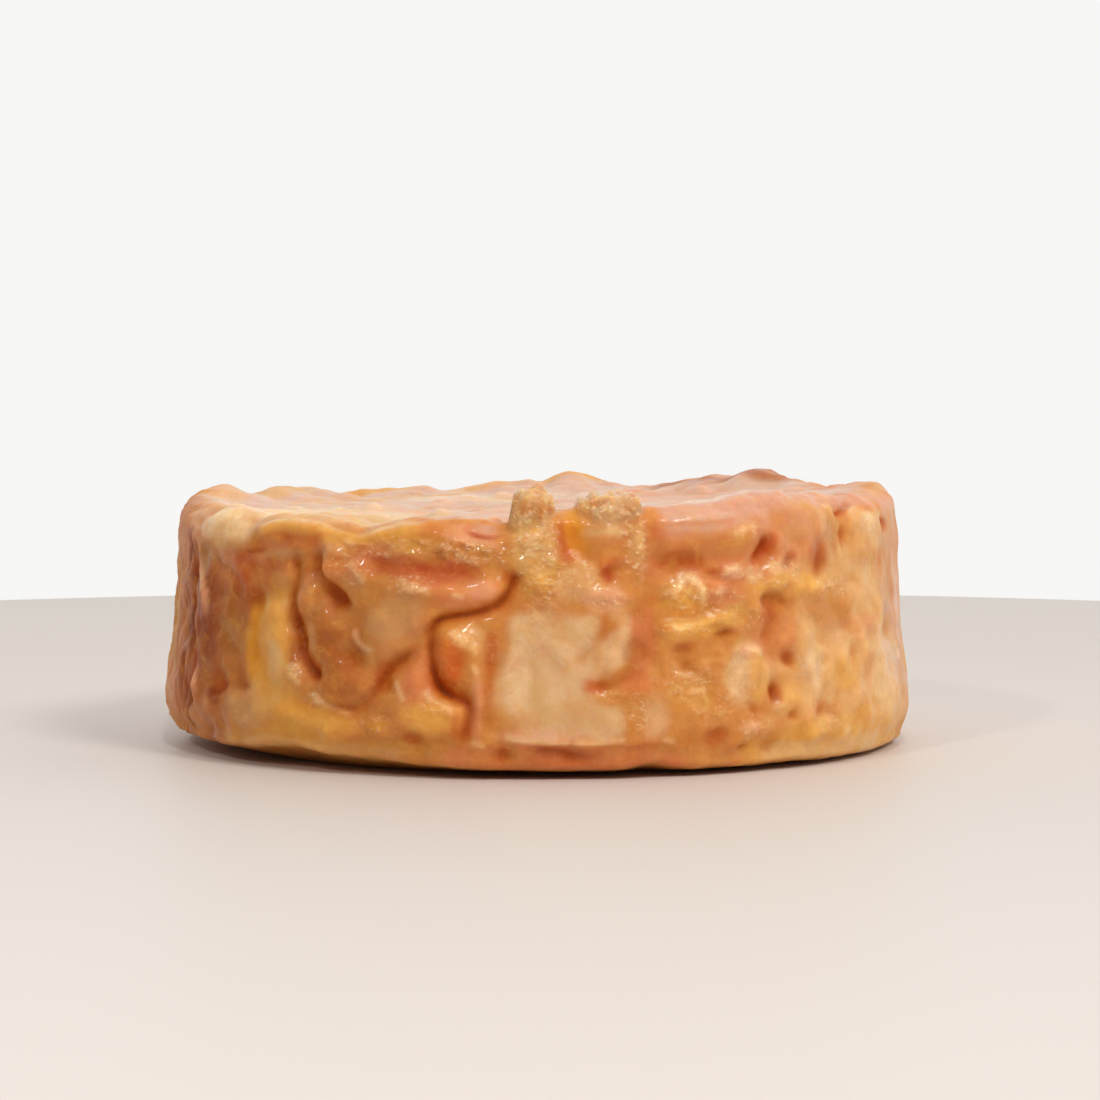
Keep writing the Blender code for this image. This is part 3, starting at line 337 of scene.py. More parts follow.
TOP_ROLLS = features(Roll, {
    "left_arc": (((-46, 41), (-40, 43.2), (-33, 42.4)), 0.8, 1.3),
    "mid_arc": (((-29, 42.6), (-24, 43.8), (-19, 43)), 0.6, 1.1),
    "right_arc": (((24, 42), (34, 44), (46, 43.4)), 0.6, 1.4),
    "pink_scoop": (((-10.2, 45.6), (-7.4, 45.3), (-4.8, 45.6)), -0.8, 0.8),
    "pink_scoop_back": (((-10.6, 43.9), (-7.4, 43.3), (-4.6, 43.9)), 1.2, 1.1),
})

KNOBS = features(Knob, {
    "left": (-1.4, 2.4, 2.6, 3.4),
    "left_low": (1.3, 1, 2, 2),
    "right_low": (7.6, 1.3, 2.2, 1.3),
    "right_left": (9.8, 1.6, 3, 1.8),
    "right_right": (13.2, 2.2, 2.8, 2),
})
KNOB_RADIUS = 47.2
# How high above the shoulder the knobs have their full size.
KNOB_RUN = CREST_HEIGHT - SHOULDER_HEIGHT - 1.0
# A knob's flank begins at its foot and takes up a share of its half size.
KNOB_FOOT, KNOB_FLANK = 1.16, 0.32
KNOB_LEAN = 0.22
# The broken crust of the knobs: the least rise that has one, and the rise that has all of it.
CRUST_SIZE, CRUST_HEIGHT = 1.5, 0.75
LEAST_RISE, CRUSTED_RISE = 0.05, 1.2

# Upright wrinkles of the drier skin: the middle and half width of each stretch, in degrees.
PLEATED = ((-85.0, 26.0), (122.0, 22.0), (-148.0, 20.0))
PLEAT_SIZE, PLEAT_STRETCH, PLEAT_HEIGHT = 1.5, 0.2, 0.3
PLEAT_SHARPNESS, PLEAT_FADE, PLEAT_EDGE = 3.2, 12.0, 1.5

# Slow swells all over, and ripples and dimples where the rind isn't smooth.
SWELL_SIZE, SWELL_HEIGHT = 17.0, 0.55
RIPPLE_SIZE, RIPPLE_HEIGHT = 5.6, 0.5
DIMPLE_SIZE, DIMPLE_HEIGHT = 2.7, 0.42

# Fine wrinkles, pebbles and crumbs in the mesh.
WRINKLE_SIZE, WRINKLE_HEIGHT = 2.6, 0.13
PEBBLE_SIZE, PEBBLE_SQUASH, PEBBLE_HEIGHT = 1.7, 1.5, 0.2
PEBBLE_SHARPNESS, PEBBLE_LEVEL = 3.4, 0.3
CRUMB_SIZE, CRUMB_HEIGHT = 1.1, 0.35

# Where each noise is read, so that no two of them are alike.
SHIFTS = {
    "swell": 3.0,
    "ripple": 17.0,
    "dimple": 53.0,
    "pleat": 61.0,
    "crust_side": 71.0,
    "crumb": 37.0,
    "wrinkle": 29.0,
    "pebble": 43.0,
    "paint_edge": 83.0,
    "grain_edge": 97.0,
}

REPEATS = (
    Repeat(-52.0, 52.0, 180.0, mirrored=True, upside_down=False),
    Repeat(-50.0, -15.0, 112.0, mirrored=True, upside_down=True),
    Repeat(17.0, 52.0, -112.0, mirrored=False, upside_down=True),
)
REPEAT_HEIGHT = 34.5

# How folds, rolls and lumps are drawn: the spacing of a line's points, the length that fades at
# each end, how many widths each of them reaches, and a fold's roundness at its bottom, its
# shoulders and its lip.
LINE_STEP, END_FADE = 0.8, 3.2
FOLD_REACH, ROLL_REACH, LUMP_REACH = 5, 3, 3
FOLD_SOFTNESS, LIP_EDGE, LIP_REACH = 0.3, 0.35, 2.6
SHOULDER_SHARE, SHOULDER_REACH = 0.3, 2.6
# A fold's width on a plain side, and how much the lip takes off one side and adds to the other.
FOLD_SPREAD, FOLD_LEAN = 1.1, 0.5

# Worm-like rolls scattered over the top face.
ARC_SEED, ARC_COUNT, ARC_REACH, ARC_LEAST_POINTS = 7, 46, 42.0, 4
ARC_LENGTH, ARC_BEND, ARC_WIDTH, ARC_HEIGHT = (7.0, 17.0), 0.13, (1.1, 2.2), (0.35, 0.8)

# Colours as they look in even light, as 8-bit sRGB.
PALETTE = {
    "pearl": (244, 208, 160),
    "shell": (243, 204, 152),
    "lilac": (232, 196, 172),
    "buff": (234, 200, 152),
    "cream": (223, 182, 134),
    "peach": (226, 172, 112),
    "khaki": (216, 170, 112),
    "straw": (224, 162, 76),
    "ochre": (224, 150, 46),
    "olive": (176, 118, 40),
    "amber": (209, 137, 66),
    "tan": (195, 125, 62),
    "orange": (200, 92, 30),
    "rust": (186, 88, 20),
    "salmon": (214, 128, 76),
    "blush": (229, 166, 124),
    "dusty": (216, 160, 132),
    "petal": (216, 172, 146),
    "rose": (194, 78, 44),
    "clay": (174, 94, 34),
    # Umber is painted shade only: in the folds, creases and pits, and under the foot.
    "umber": (150, 60, 12),
    "wine": (140, 62, 32),
    "plum": (112, 46, 26),
    "mauve": (166, 92, 60),
    "crust": (192, 150, 102),
    "floor": (216, 207, 200),
}

# What a colour is multiplied by where it goes paler, browner and deeper.
# Paler serves the freckles and also the painted light on the ridges.
PALER = (1.2, 1.3, 1.42)
BROWNER = (1.0, 0.78, 0.6)
DEEPER = (0.8, 0.6, 0.4)
# Painted shade in the valleys.
PAINTED_VALLEY_SHADE = (0.94, 0.57, 0.18)

# Broad fields of colour on the side, painted first.
FIELDS = [Dab(*row) for row in (
    ("amber", (25, 11), 16, 11, 0.7),
    ("peach", (62, 17), 24, 20, 0.95),
    ("tan", (-30, 15), 13, 12, 0.8),
    ("clay", (-53, 18), 10, 19, 0.95),
    ("wine", (-67, 17), 9, 15, 0.8),
    ("mauve", (-84, 21), 10, 14, 0.9),
    ("wine", (-80, 12), 8, 4, 0.7),
    ("mauve", (-88, 8), 9, 5, 0.7),
    ("salmon", (25, 29.5), 11, 5, 0.9),
    ("peach", (44, 32), 10, 4, 0.35),
    ("salmon", (42, 30.4), 7, 2.6, 0.6),
)]

# Warm oranges with paler and browner fields between them, round each middle of the unseen side.
UNSEEN_MIDDLES = (180.0, 106.0, -112.0)
UNSEEN_FIELDS = [Dab(*row) for row in (
    ("clay", (-26, 20), 13, 12, 0.6),
    ("salmon", (-6, 24), 12, 8, 0.7),
    ("tan", (10, 10), 12, 9, 0.6),
    ("peach", (26, 18), 12, 12, 0.6),
)]

# The front's own colours, from the broad ones to the small ones.
DABS = [Dab(*row) for row in (
    # The pale left corner of the rim.
    ("salmon", (-66, 30.6), 6, 2.4, 0.8),
    ("blush", (-66, 33), 7, 1.6, 0.8),
    ("shell", (-57, 32.6), 6.8, 2.6, 0.95),
    ("peach", (-56, 30), 4, 1, 0.5),
    ("rust", (-63, 29.4), 3, 1, 0.4),
    # Under the rim on the left.
    ("rust", (-45.6, 28.8), 7.6, 2.6, 0.85),
    ("ochre", (-49, 31), 6, 1.5, 0.35),
    ("olive", (-43, 29.6), 5, 1.6, 0.35),
    ("orange", (-53, 26.4), 5.2, 2.6, 0.6),
    ("rust", (-49.6, 25.6), 4.6, 3.4, 0.4),
    ("orange", (-47.4, 25.4), 4, 2.6, 0.35),
    # The yellow ridge, its foot and what lies left of it.
    ("olive", (-52.6, 18), 3.6, 5, 0.3),
    ("tan", (-52, 13.4), 4, 2.4, 0.5),
    ("straw", (-43, 17), 3, 7.8, 0.85),
    ("buff", (-42.2, 13.6), 1.8, 4.6, 0.5, 8),
    ("ochre", (-46.6, 16.6), 2.6, 5.4, 0.75),
    ("ochre", (-46, 16.4), 2.4, 6, 0.6),
    ("amber", (-61, 6.6), 6, 3, 0.3),
    ("straw", (-42, 9), 4.6, 5, 0.8),
    ("tan", (-51, 7), 6, 3.2, 0.8),
    ("khaki", (-47.6, 8), 5, 3.2, 0.5),
    ("clay", (-54.6, 6.2), 3.6, 2.4, 0.5),
    # The folds and lobes left of the middle.
    ("tan", (-36.4, 22.8), 2.4, 2.4, 0.6),
    ("clay", (-36, 22.8), 2, 2.4, 0.35),
    ("clay", (-36.6, 27.6), 1.8, 3, 0.6),
    ("amber", (-30.6, 27.4), 2.8, 3, 0.85),
    ("orange", (-31.4, 28), 2.4, 2.2, 0.35),
    ("salmon", (-27, 27.8), 2.6, 2, 0.6),
    ("salmon", (-25.6, 30.7), 4.6, 1.5, 0.7),
    ("straw", (-19.2, 31.2), 2.6, 1.1, 0.7),
    ("straw", (-29.6, 31.2), 1.4, 1.3, 0.5),
    ("salmon", (-12.5, 24.6), 7.6, 2.3, 0.85),
    ("blush", (-8.2, 25), 2.2, 1.2, 0.6),
    ("amber", (-20.5, 24.2), 4.4, 1.6, 0.7),
    ("tan", (-22, 21), 5.4, 3.6, 0.85, 30),
    ("khaki", (-21.8, 20.8), 4.6, 2.8, 0.45, 40),
    ("blush", (-20.4, 19), 4, 2.2, 0.15, 40),
    ("clay", (-31, 17.4), 5, 3.2, 0.75),
    ("khaki", (-35.6, 17.8), 1.1, 1.8, 0.4),
    # Painted shade in the hook's crease.
    ("umber", (-38.4, 17.6), 1, 3.4, 0.55),
    ("clay", (-29.4, 12.2), 4, 2.4, 0.7),
    # Painted shade in the hollow of the tongue's edge.
    ("rust", (-22.6, 13.4), 1.7, 2, 0.7),
    ("salmon", (-17.8, 13), 2.6, 4.6, 0.9),
    ("orange", (-13, 15.2), 2.4, 3.8),
    ("peach", (-10, 18.8), 1.9, 1.5, 0.75),
    # The foot left of the middle.
    ("ochre", (-34, 6.4), 6.4, 3.4, 0.9),
    ("straw", (-35, 6), 6.2, 2.8, 0.85),
    ("straw", (-31.2, 6.8), 4.2, 2.2, 0.6),
    ("amber", (-24, 5.6), 4.4, 2.8, 0.7),
    ("ochre", (-23.4, 7), 1.6, 0.9, 0.5),
    ("straw", (-16.2, 7.8), 3.4, 2.2, 0.85),
    ("rust", (-18, 5.3), 1.6, 1.2, 0.65),
    ("straw", (-20.6, 3.6), 4.6, 1, 0.6),
    ("salmon", (-9, 3.2), 4.6, 2, 0.85),
    # The smooth patch.
    ("orange", (-6.6, 17), 1.1, 2.6, 0.5),
    ("cream", (1, 14), 6.4, 7.8, 1, 3),
    ("blush", (2, 5.8), 7.4, 1.1, 0.6),
    ("cream", (5.6, 18), 3, 3.8, 0.9, 8),
    ("buff", (2.6, 17.6), 1.8, 2.6, 0.7, 30),
    ("khaki", (4.6, 19.4), 2.4, 1, 0.6),
    ("khaki", (0, 12), 1.6, 2.8, 0.55, 10),
    ("buff", (-2.8, 15), 1.6, 5.4, 0.75),
    ("buff", (2.4, 11), 1.5, 1.6, 0.4),
    ("cream", (9.4, 7.6), 3, 2.4, 0.9),
    ("lilac", (3, 6.6), 3.4, 1, 0.4),
    ("buff", (7.5, 20.5), 1.7, 1.4, 0.5),
    ("cream", (11.4, 17.2), 1.9, 4.6, 0.8, -38),
    ("khaki", (4, 8.4), 5.4, 2.2, 0.5),
    ("cream", (17, 8), 2.2, 2.9, 0.5),
    # Round the patch and under the drips.
    ("peach", (5.8, 26), 3.2, 2.6, 0.8),
    ("orange", (4.4, 31.4), 1.6, 3, 0.7),
    ("blush", (10.2, 23.4), 3, 1.8, 0.75),
    ("peach", (12, 21.8), 1.6, 1.4, 0.6),
    ("salmon", (15.4, 18.4), 1.6, 5.4, 0.9),
    # Painted shade right of the patch.
    ("clay", (14.2, 16), 1.5, 3, 0.5),
    ("amber", (14.6, 24.4), 2, 2.4, 0.75),
    # Right of the middle.
    ("tan", (24, 29.6), 9, 1.7, 0.6),
    ("rust", (22, 28.2), 3.4, 1.4, 0.65),
    ("rust", (27, 26.6), 2, 0.9, 0.5),
    ("straw", (21.6, 24), 3.4, 2.4, 0.7),
    ("ochre", (21.6, 22.6), 2, 1.2, 0.5),
    ("salmon", (28.4, 24), 3, 1.6, 0.75),
    ("blush", (30, 26.8), 1.9, 0.9, 0.8),
    ("tan", (31, 18), 4.4, 1.4, 0.4),
    ("straw", (22, 11), 3.6, 2.2, 0.4),
    ("amber", (24, 5.2), 4.6, 2.6, 0.8),
    ("rust", (26.2, 5.3), 2.2, 1.3, 0.55),
    ("peach", (31, 12.8), 3, 4, 0.6),
    ("cream", (30.2, 13), 1.7, 3.8, 0.7, -8),
    ("blush", (33, 16.4), 2, 0.8, 0.7),
    ("straw", (33.8, 12.4), 1.4, 3.6, 0.7),
    ("blush", (32.4, 6.3), 1.6, 0.9, 0.6),
    ("orange", (38, 18.8), 3.4, 4, 0.45),
    # The dents and pits of the right half, with painted shade of rust and umber in them.
    ("rust", (36.4, 21.6), 1.8, 2, 0.6),
    ("rust", (38.6, 22.2), 2.2, 1, 0.4),
    ("straw", (42, 24.6), 7.6, 1.7, 0.9),
    ("shell", (37.4, 27.1), 1.3, 0.8, 0.5),
    ("shell", (34, 26.4), 1.4, 1, 0.5),
    ("orange", (36.4, 29.5), 2.4, 1.2, 0.8, 32),
    ("rust", (35.8, 29.6), 1.8, 0.7, 0.6, 34),
    ("rust", (40.7, 27.9), 1.5, 0.7, 0.7, 18),
    ("rust", (47.6, 27.8), 2.5, 2.2, 0.75),
    ("umber", (47.7, 27.6), 1.1, 1.2, 0.25),
    ("umber", (35.6, 29.5), 1.4, 0.4, 0.4, 34),
    ("umber", (40.6, 27.8), 0.9, 0.3, 0.5, 18),
    ("rust", (37.1, 10.6), 1.1, 1.4, 0.75),
    ("rust", (40, 14.9), 1.5, 1.1, 0.6, -30),
    ("rust", (40.4, 7.4), 1, 0.7, 0.6),
    ("rust", (28.2, 19), 2, 0.7, 0.5),
    ("umber", (36.9, 10.2), 0.7, 1, 0.35),
    ("umber", (39.8, 15), 0.8, 0.5, 0.25, -30),
    ("umber", (35.2, 22.8), 1, 0.7, 0.3, 30),
    ("umber", (28, 19), 1.2, 0.3, 0.5),
    # The right half.
    ("amber", (45, 22), 5, 1.6, 0.6),
    ("cream", (44.4, 13.2), 2.2, 5.4, 0.85, -14),
    ("peach", (46.6, 17), 3, 2, 0.6),
    ("straw", (41.4, 9.6), 3, 2.4, 0.45),
    ("straw", (48, 4.6), 9, 2.6, 0.9),
    ("khaki", (51, 5.2), 6, 2.2, 0.4),
    ("straw", (60, 6), 7, 3, 0.6),
    ("olive", (46, 1.8), 6, 0.9, 0.6),
    ("blush", (80, 20), 8, 10, 0.5),
    ("olive", (57, 2.2), 3.4, 0.6, 0.5),
    ("straw", (52.4, 12.4), 3.4, 2.4, 0.7),
    ("amber", (51, 22), 4.4, 3, 0.7),
    ("tan", (50, 20), 4.6, 2.4, 0.6),
    ("salmon", (58, 18.6), 5, 1.6, 0.4),
    ("amber", (59.4, 13.4), 2.2, 1.6, 0.5),
    # The right edge.
    ("tan", (51.6, 30.6), 1.8, 2.4, 0.6),
    ("amber", (56, 31.2), 1.4, 1.8, 0.6),
    ("amber", (59, 28.8), 2.6, 3, 0.5),
    ("amber", (66.4, 27.2), 2.4, 1.4, 0.5),
    ("buff", (66, 12), 5, 7, 0.5),
    ("pearl", (73.6, 13.4), 2.2, 0.8, 0.7),
    ("tan", (73.6, 15.6), 1.6, 0.6, 0.6),
    ("straw", (85, 12.2), 6, 2.2, 0.55),
    # The petal dabs are painted sheen where the right edge catches the light.
    ("petal", (70, 15), 3.4, 6.6, 0.35),
    ("petal", (77, 19), 2.4, 5.6, 0.45),
    ("peach", (96, 24), 6, 4, 0.6),
    ("tan", (94, 12), 5, 3.4, 0.6),
    ("khaki", (100, 17), 4, 3, 0.5),
    ("salmon", (90, 28.4), 6, 1.6, 0.5),
    ("olive", (81, 3.2), 6, 1.2, 0.4),
    ("rust", (71, 30.9), 2.2, 0.8, 0.75),
    ("salmon", (70, 34), 8, 1.4, 0.7),
    ("dusty", (56, 35), 16, 1.4, 0.7),
    ("salmon", (88, 33.2), 8, 1, 0.5),
    # The brown far left; the plum and wine dabs are painted shade in its dents.
    ("wine", (-70, 29.2), 3.2, 2.2, 0.85),
    ("wine", (-62.6, 28.8), 1.8, 1.2, 0.6),
    ("plum", (-68.4, 17.2), 2.8, 3, 0.7),
    ("plum", (-74.4, 11.4), 2.2, 1.6, 0.7),
    ("plum", (-65, 8), 2.2, 1.7, 0.6),
    ("plum", (-56.8, 9), 1.6, 1, 0.7, -30),
    ("plum", (-70, 24), 2.6, 1.2, 0.5),
    ("dusty", (-80, 28.4), 8, 4.6, 0.55),
    ("dusty", (-78, 8), 8, 4, 0.5),
    ("blush", (-86, 30.2), 6, 1.6, 0.35),
    ("rust", (-85, 33.2), 5, 0.9, 0.5),
    ("olive", (-84, 23.6), 6, 1.4, 0.3),
)]

STREAKS = [Streak(*row) for row in (
    # The rim on the left; the shell streaks are painted highlights along the tops of its rolls.
    ("shell", ((-49, 33), (-41, 34), (-33, 33.4), (-29, 32.6)), 0.7, 0.45),
    ("straw", ((-49, 31.8), (-41, 33), (-33, 32.8), (-24, 33), (-16.5, 32.8)), 1.2, 0.85),
    ("shell", ((-27, 33.4), (-22, 34.2), (-16.4, 33.8)), 0.6, 0.5),
    ("orange", ((-50, 30.2), (-43, 31.2), (-37, 31.4), (-32.6, 31.6)), 1.2, 0.6),
    ("rust", ((-51, 29.6), (-47, 29.3), (-44, 29.9)), 0.6, 0.6),
    ("blush", ((-15, 33.4), (-9, 33), (-4.5, 32.6)), 1.3, 0.8),
    # The folds left of the middle; the rust streaks are painted shade at the folds' ends.
    ("clay", ((-15, 30.9), (-10, 30.3), (-5, 30.2)), 0.8, 0.45),
    ("rose", ((-28.4, 28.7), (-23, 28.2), (-19, 27.8), (-15, 27.1), (-7.6, 27.4)), 1.5, 0.6),
    ("rose", ((-20.6, 28.6), (-17, 27.6), (-14, 27.4)), 0.6, 0.6),
    ("rose", ((-15.6, 28.6), (-12, 27.8), (-6.4, 27.6)), 1, 0.5),
    ("rust", ((-4.9, 25.2), (-4.1, 26.6), (-3.7, 28.2)), 1.3, 0.8),
    ("rust", ((-10.9, 9), (-11.2, 6), (-11.4, 4)), 1.2, 0.6),
    ("blush", ((-8.8, 15), (-8.8, 9), (-8.9, 4.4)), 0.7, 0.5),
    ("orange", ((-6.6, 20), (-6.8, 17), (-7.1, 13), (-7.2, 8.4)), 0.6, 0.4),
    # The ribs and the notch of the patch.
    ("salmon", ((9.4, 22.6), (9.7, 20.4), (8.8, 18.2)), 0.6, 0.3),
    ("amber", ((8.8, 18.2), (6.6, 16.2), (4.6, 14.8)), 0.4, 0.2),
    ("orange", ((5.4, 12.6), (6.8, 12.6), (9, 12.2), (11.4, 12.3)), 0.8, 0.8),
    ("salmon", ((11, 12.4), (14, 13.2), (16.6, 14.6)), 1.3, 0.7),
    # Along the foot; the rust and umber streaks are painted shade in its creases and under its lower edge.
    ("rust", ((-4, 2.8), (0.4, 3.8), (2.6, 3.6), (6, 3), (11, 2.8)), 1.1, 0.85),
    ("salmon", ((-9, 1.4), (2, 1.8), (12, 1.6), (24, 1.6)), 1.6, 0.8),
    ("rust", ((-3, 2.6), (4, 2.8), (10, 2.6)), 0.7, 0.5),
    ("umber", ((-14, 0.4), (0, 0.6), (12, 0.4), (28, 0.2)), 1, 0.75),
    ("straw", ((30, 2.6), (44, 3.4), (60, 3.4), (76, 5)), 2, 0.7),
    ("straw", ((-56, 3.4), (-44, 3), (-32, 2.6), (-22, 2.2)), 1.8, 0.6),
    ("buff", ((-50, 2.6), (-36, 2.2), (-18, 2.4)), 1.2, 0.2),
    ("buff", ((34, 2.8), (48, 3), (66, 3.4)), 1.2, 0.4),
    ("rust", ((-8, 2.4), (-5, 3.2), (-2, 2.4)), 0.8, 0.7),
    ("salmon", ((-4.6, 4), (6, 3.7), (19, 3.8)), 1.2, 0.6),
    # The knobs, the drips and the gap between them.
    ("straw", ((-0.4, 34.6), (-0.2, 30), (0.4, 23)), 2.3, 0.8),
    ("khaki", ((-0.8, 37), (-0.6, 33), (-0.2, 26)), 2.4, 0.7),
    ("tan", ((-1, 38), (-0.6, 35)), 2.4, 0.35),
    ("olive", ((-0.6, 37.4), (0.2, 34.4)), 1.2, 0.6),
    ("amber", ((1.6, 34), (2.6, 32.2)), 0.7, 0.7),
    ("ochre", ((5, 35), (5.2, 32.4), (6.4, 30), (8, 28.8)), 1.2, 0.9),
    ("orange", ((7, 29.4), (10.4, 28.4), (13.6, 28.4)), 0.8, 0.5),
    ("khaki", ((10, 33.2), (9.8, 31)), 2.4, 0.85),
    ("khaki", ((8, 34.2), (14, 33.8)), 1.5, 0.8),
    ("dusty", ((10.6, 37), (15, 36)), 1.6, 0.6),
    ("khaki", ((15, 33.6), (14.8, 30), (15, 27.6)), 1.1, 0.65),
    ("rose", ((8.8, 26.5), (11.4, 27.6)), 1.1, 0.85),
    # Painted highlights along the pale lumps of the right half.
    ("shell", ((19.2, 23.6), (20.6, 25), (22.6, 26.3), (24.4, 24.6), (25, 22)), 0.6, 0.55),
    ("shell", ((28.6, 10.2), (29.8, 12.8), (30.8, 15.6)), 0.6, 0.4),
    ("shell", ((34.8, 15.6), (35, 12.8), (34.6, 10.4)), 0.5, 0.4),
    # The rim on the right; the petal lines are painted highlights along its crest.
    ("dusty", ((17, 34), (25, 33.8), (33, 34.4), (44, 35)), 2.4, 0.95),
    ("petal", ((18, 33.2), (25, 32.9), (32, 33.5)), 0.5, 0.8),
    ("salmon", ((18, 32.6), (25, 32.3), (32, 32.8)), 0.35, 0.4),
    ("petal", ((19, 32.1), (25, 31.9), (30, 32.2)), 0.4, 0.5),
    ("dusty", ((-11, 34.6), (-8, 34.2), (-5.4, 34.6)), 0.8, 0.9),
    ("rose", ((-11.6, 34), (-9.6, 33.3), (-6.6, 33.2), (-4.8, 33.8)), 0.5, 0.6),
    # The shelf and the crust of the right half.
    ("straw", ((17.4, 20), (21, 19.4), (26, 20), (34, 21.8)), 1.1, 0.85),
    ("straw", ((28.6, 31.4), (31.6, 31), (34.6, 31.6)), 0.9, 0.6),
    ("rust", ((18.8, 17.3), (21.4, 17.1), (24.2, 17.5)), 0.6, 0.5),
    ("pearl", ((60, 32.3), (63, 31.7), (66, 30.8)), 1.1, 0.9),
    ("rust", ((53.8, 31.9), (56.4, 33.4), (60, 34)), 0.5, 0.7),
    ("rust", ((68.6, 31.4), (71, 30.8), (75, 30.6)), 0.8, 0.6),
    # The ridges and pleats of the far left.
    # The blush on the ridges is partly their own colour and partly painted light.
    ("blush", ((-64.4, 27.6), (-62.2, 25), (-60.4, 22.5), (-60, 18.6)), 0.5, 0.7),
    ("blush", ((-62, 14), (-61.8, 10.8), (-60.6, 8.2)), 0.5, 0.65),
    ("shell", ((-62, 33.8), (-57, 33.4), (-52, 33)), 2, 0.8),
    # The plum and wine streaks are painted shade in the pleats' valleys.
    ("plum", ((-70, 30), (-70.6, 26), (-69, 20), (-71, 14)), 0.8, 0.6),
    ("plum", ((-66.6, 29.6), (-67, 26.6), (-65.8, 23)), 0.5, 0.5),
    ("wine", ((-76, 27), (-75, 20), (-77, 13)), 0.7, 0.5),
)]

# Colours of the top face.
TOP_DABS = [Dab(*row) for row in (
    ("blush", (-20, 22), 14, 9, 0.5),
    ("lilac", (42, 35), 18, 10, 0.55),
    ("salmon", (140, 30), 10, 7, 0.4),
    ("buff", (200, 22), 13, 9, 0.5),
    ("peach", (-110, 30), 10, 8, 0.5),
    ("straw", (-150, 34), 8, 5, 0.4),
    ("blush", (100, 12), 8, 6, 0.5),
    ("buff", (-48, 38), 20, 12, 0.7),
    ("khaki", (-42, 42), 13, 4.4, 0.8),
    ("straw", (-34, 44.6), 8, 1.8, 0.6),
    ("shell", (-62, 42), 9, 5, 0.8),
    ("petal", (13, 47.2), 3.4, 3.4, 0.6),
    ("ochre", (-1, 48), 0.9, 2, 0.8),
    ("dusty", (58, 47), 18, 2.4, 0.6),
    ("straw", (-24, 44.8), 6, 1.6, 0.5),
    ("blush", (-7.4, 43.4), 3, 1.6, 0.8),
    # Painted shade in the pink scoop's channel.
    ("rust", (-7.4, 45.6), 2.8, 0.6, 0.8),
    ("rust", (-4.8, 44.6), 0.5, 1.6, 0.8),
    ("lilac", (28, 43), 12, 4.4, 0.7),
    ("salmon", (66, 43.6), 10, 3, 0.6),
    ("salmon", (100, 44), 12, 4, 0.7),
    ("clay", (135, 46), 8, 3.6, 0.85),
    ("mauve", (148, 45.6), 8, 4, 0.7),
    ("straw", (174, 46.4), 5, 2.4, 0.85),
    ("peach", (192, 46.4), 7, 2.4, 0.7),
    ("straw", (215, 46), 8, 2.6, 0.7),
    ("khaki", (240, 45.6), 10, 3, 0.7),
    ("peach", (265, 45), 10, 3, 0.6),
)]

# Small wet bumps that catch the light, each also painted pale as a painted highlight.
GLINTS = (
    ((-39, 13.9), (-38.4, 13.3)), ((-38, 14.1), (-37.6, 13.2)), ((-38.6, 12.8), (-37.2, 12)),
    ((-34, 10.4), (-33, 9.6)), ((-32, 9.2), (-28.5, 8.2)), ((-27.6, 19), (-26.9, 17.6), (-25, 16.7)),
    ((-20.8, 12.6), (-20.2, 11.4), (-19.6, 10.6)), ((-28.6, 28.2), (-27.6, 26.8), (-26.6, 25.7)),
    ((-20.4, 26.2), (-19.4, 25), (-18.6, 24.8)), ((-17.8, 25.2), (-16.2, 24.4)),
    ((-12.6, 19.2), (-11.4, 18.6), (-10.6, 18)), ((-9.4, 17.4), (-8.9, 16.8)),
    ((-9.2, 15), (-8.8, 14.2)), ((-16.2, 11.4), (-15.2, 10.5)), ((-13.4, 9.8), (-12.6, 9.1)),
    ((-9.2, 4.9), (-8, 4.6)), ((-4.4, 5.6), (-1, 5.3), (4, 5)), ((5.4, 5.1), (8.5, 5.1), (12, 5.4)),
    ((18.4, 5), (19.4, 4.8)), ((20.6, 13.8), (22.4, 13.4), (24.4, 12.6)), ((22.6, 11.5), (24.4, 11.4)),
    ((28.4, 10.4), (29.4, 10.9)), ((32.2, 16.4), (34.2, 16)), ((37.2, 9), (38.2, 8.7)),
    ((20, 19.8), (22.8, 19.9)), ((19.2, 24.4), (20.4, 24)), ((22.2, 26.2), (23.4, 25.6)),
    ((24.2, 24.2), (24.8, 22.8)), ((26.8, 24.3), (27.8, 24.6)), ((28.4, 26.9), (30.2, 27.4)),
    ((30.6, 31.2), (33.6, 31.6)), ((-30, 32.2), (-28.8, 31.8)), ((-11.4, 29.2), (-9, 28.6)),
    ((-12, 24.2), (-11, 24)), ((50, 24.4), (51.4, 24.2)), ((51.6, 5.1), (53, 4.9)),
    ((50.2, 33.6), (51.6, 33.4)),
)
GLINT_HEIGHT, GLINT_WIDTH, GLINT_REACH = 0.22, 0.42, 1.5

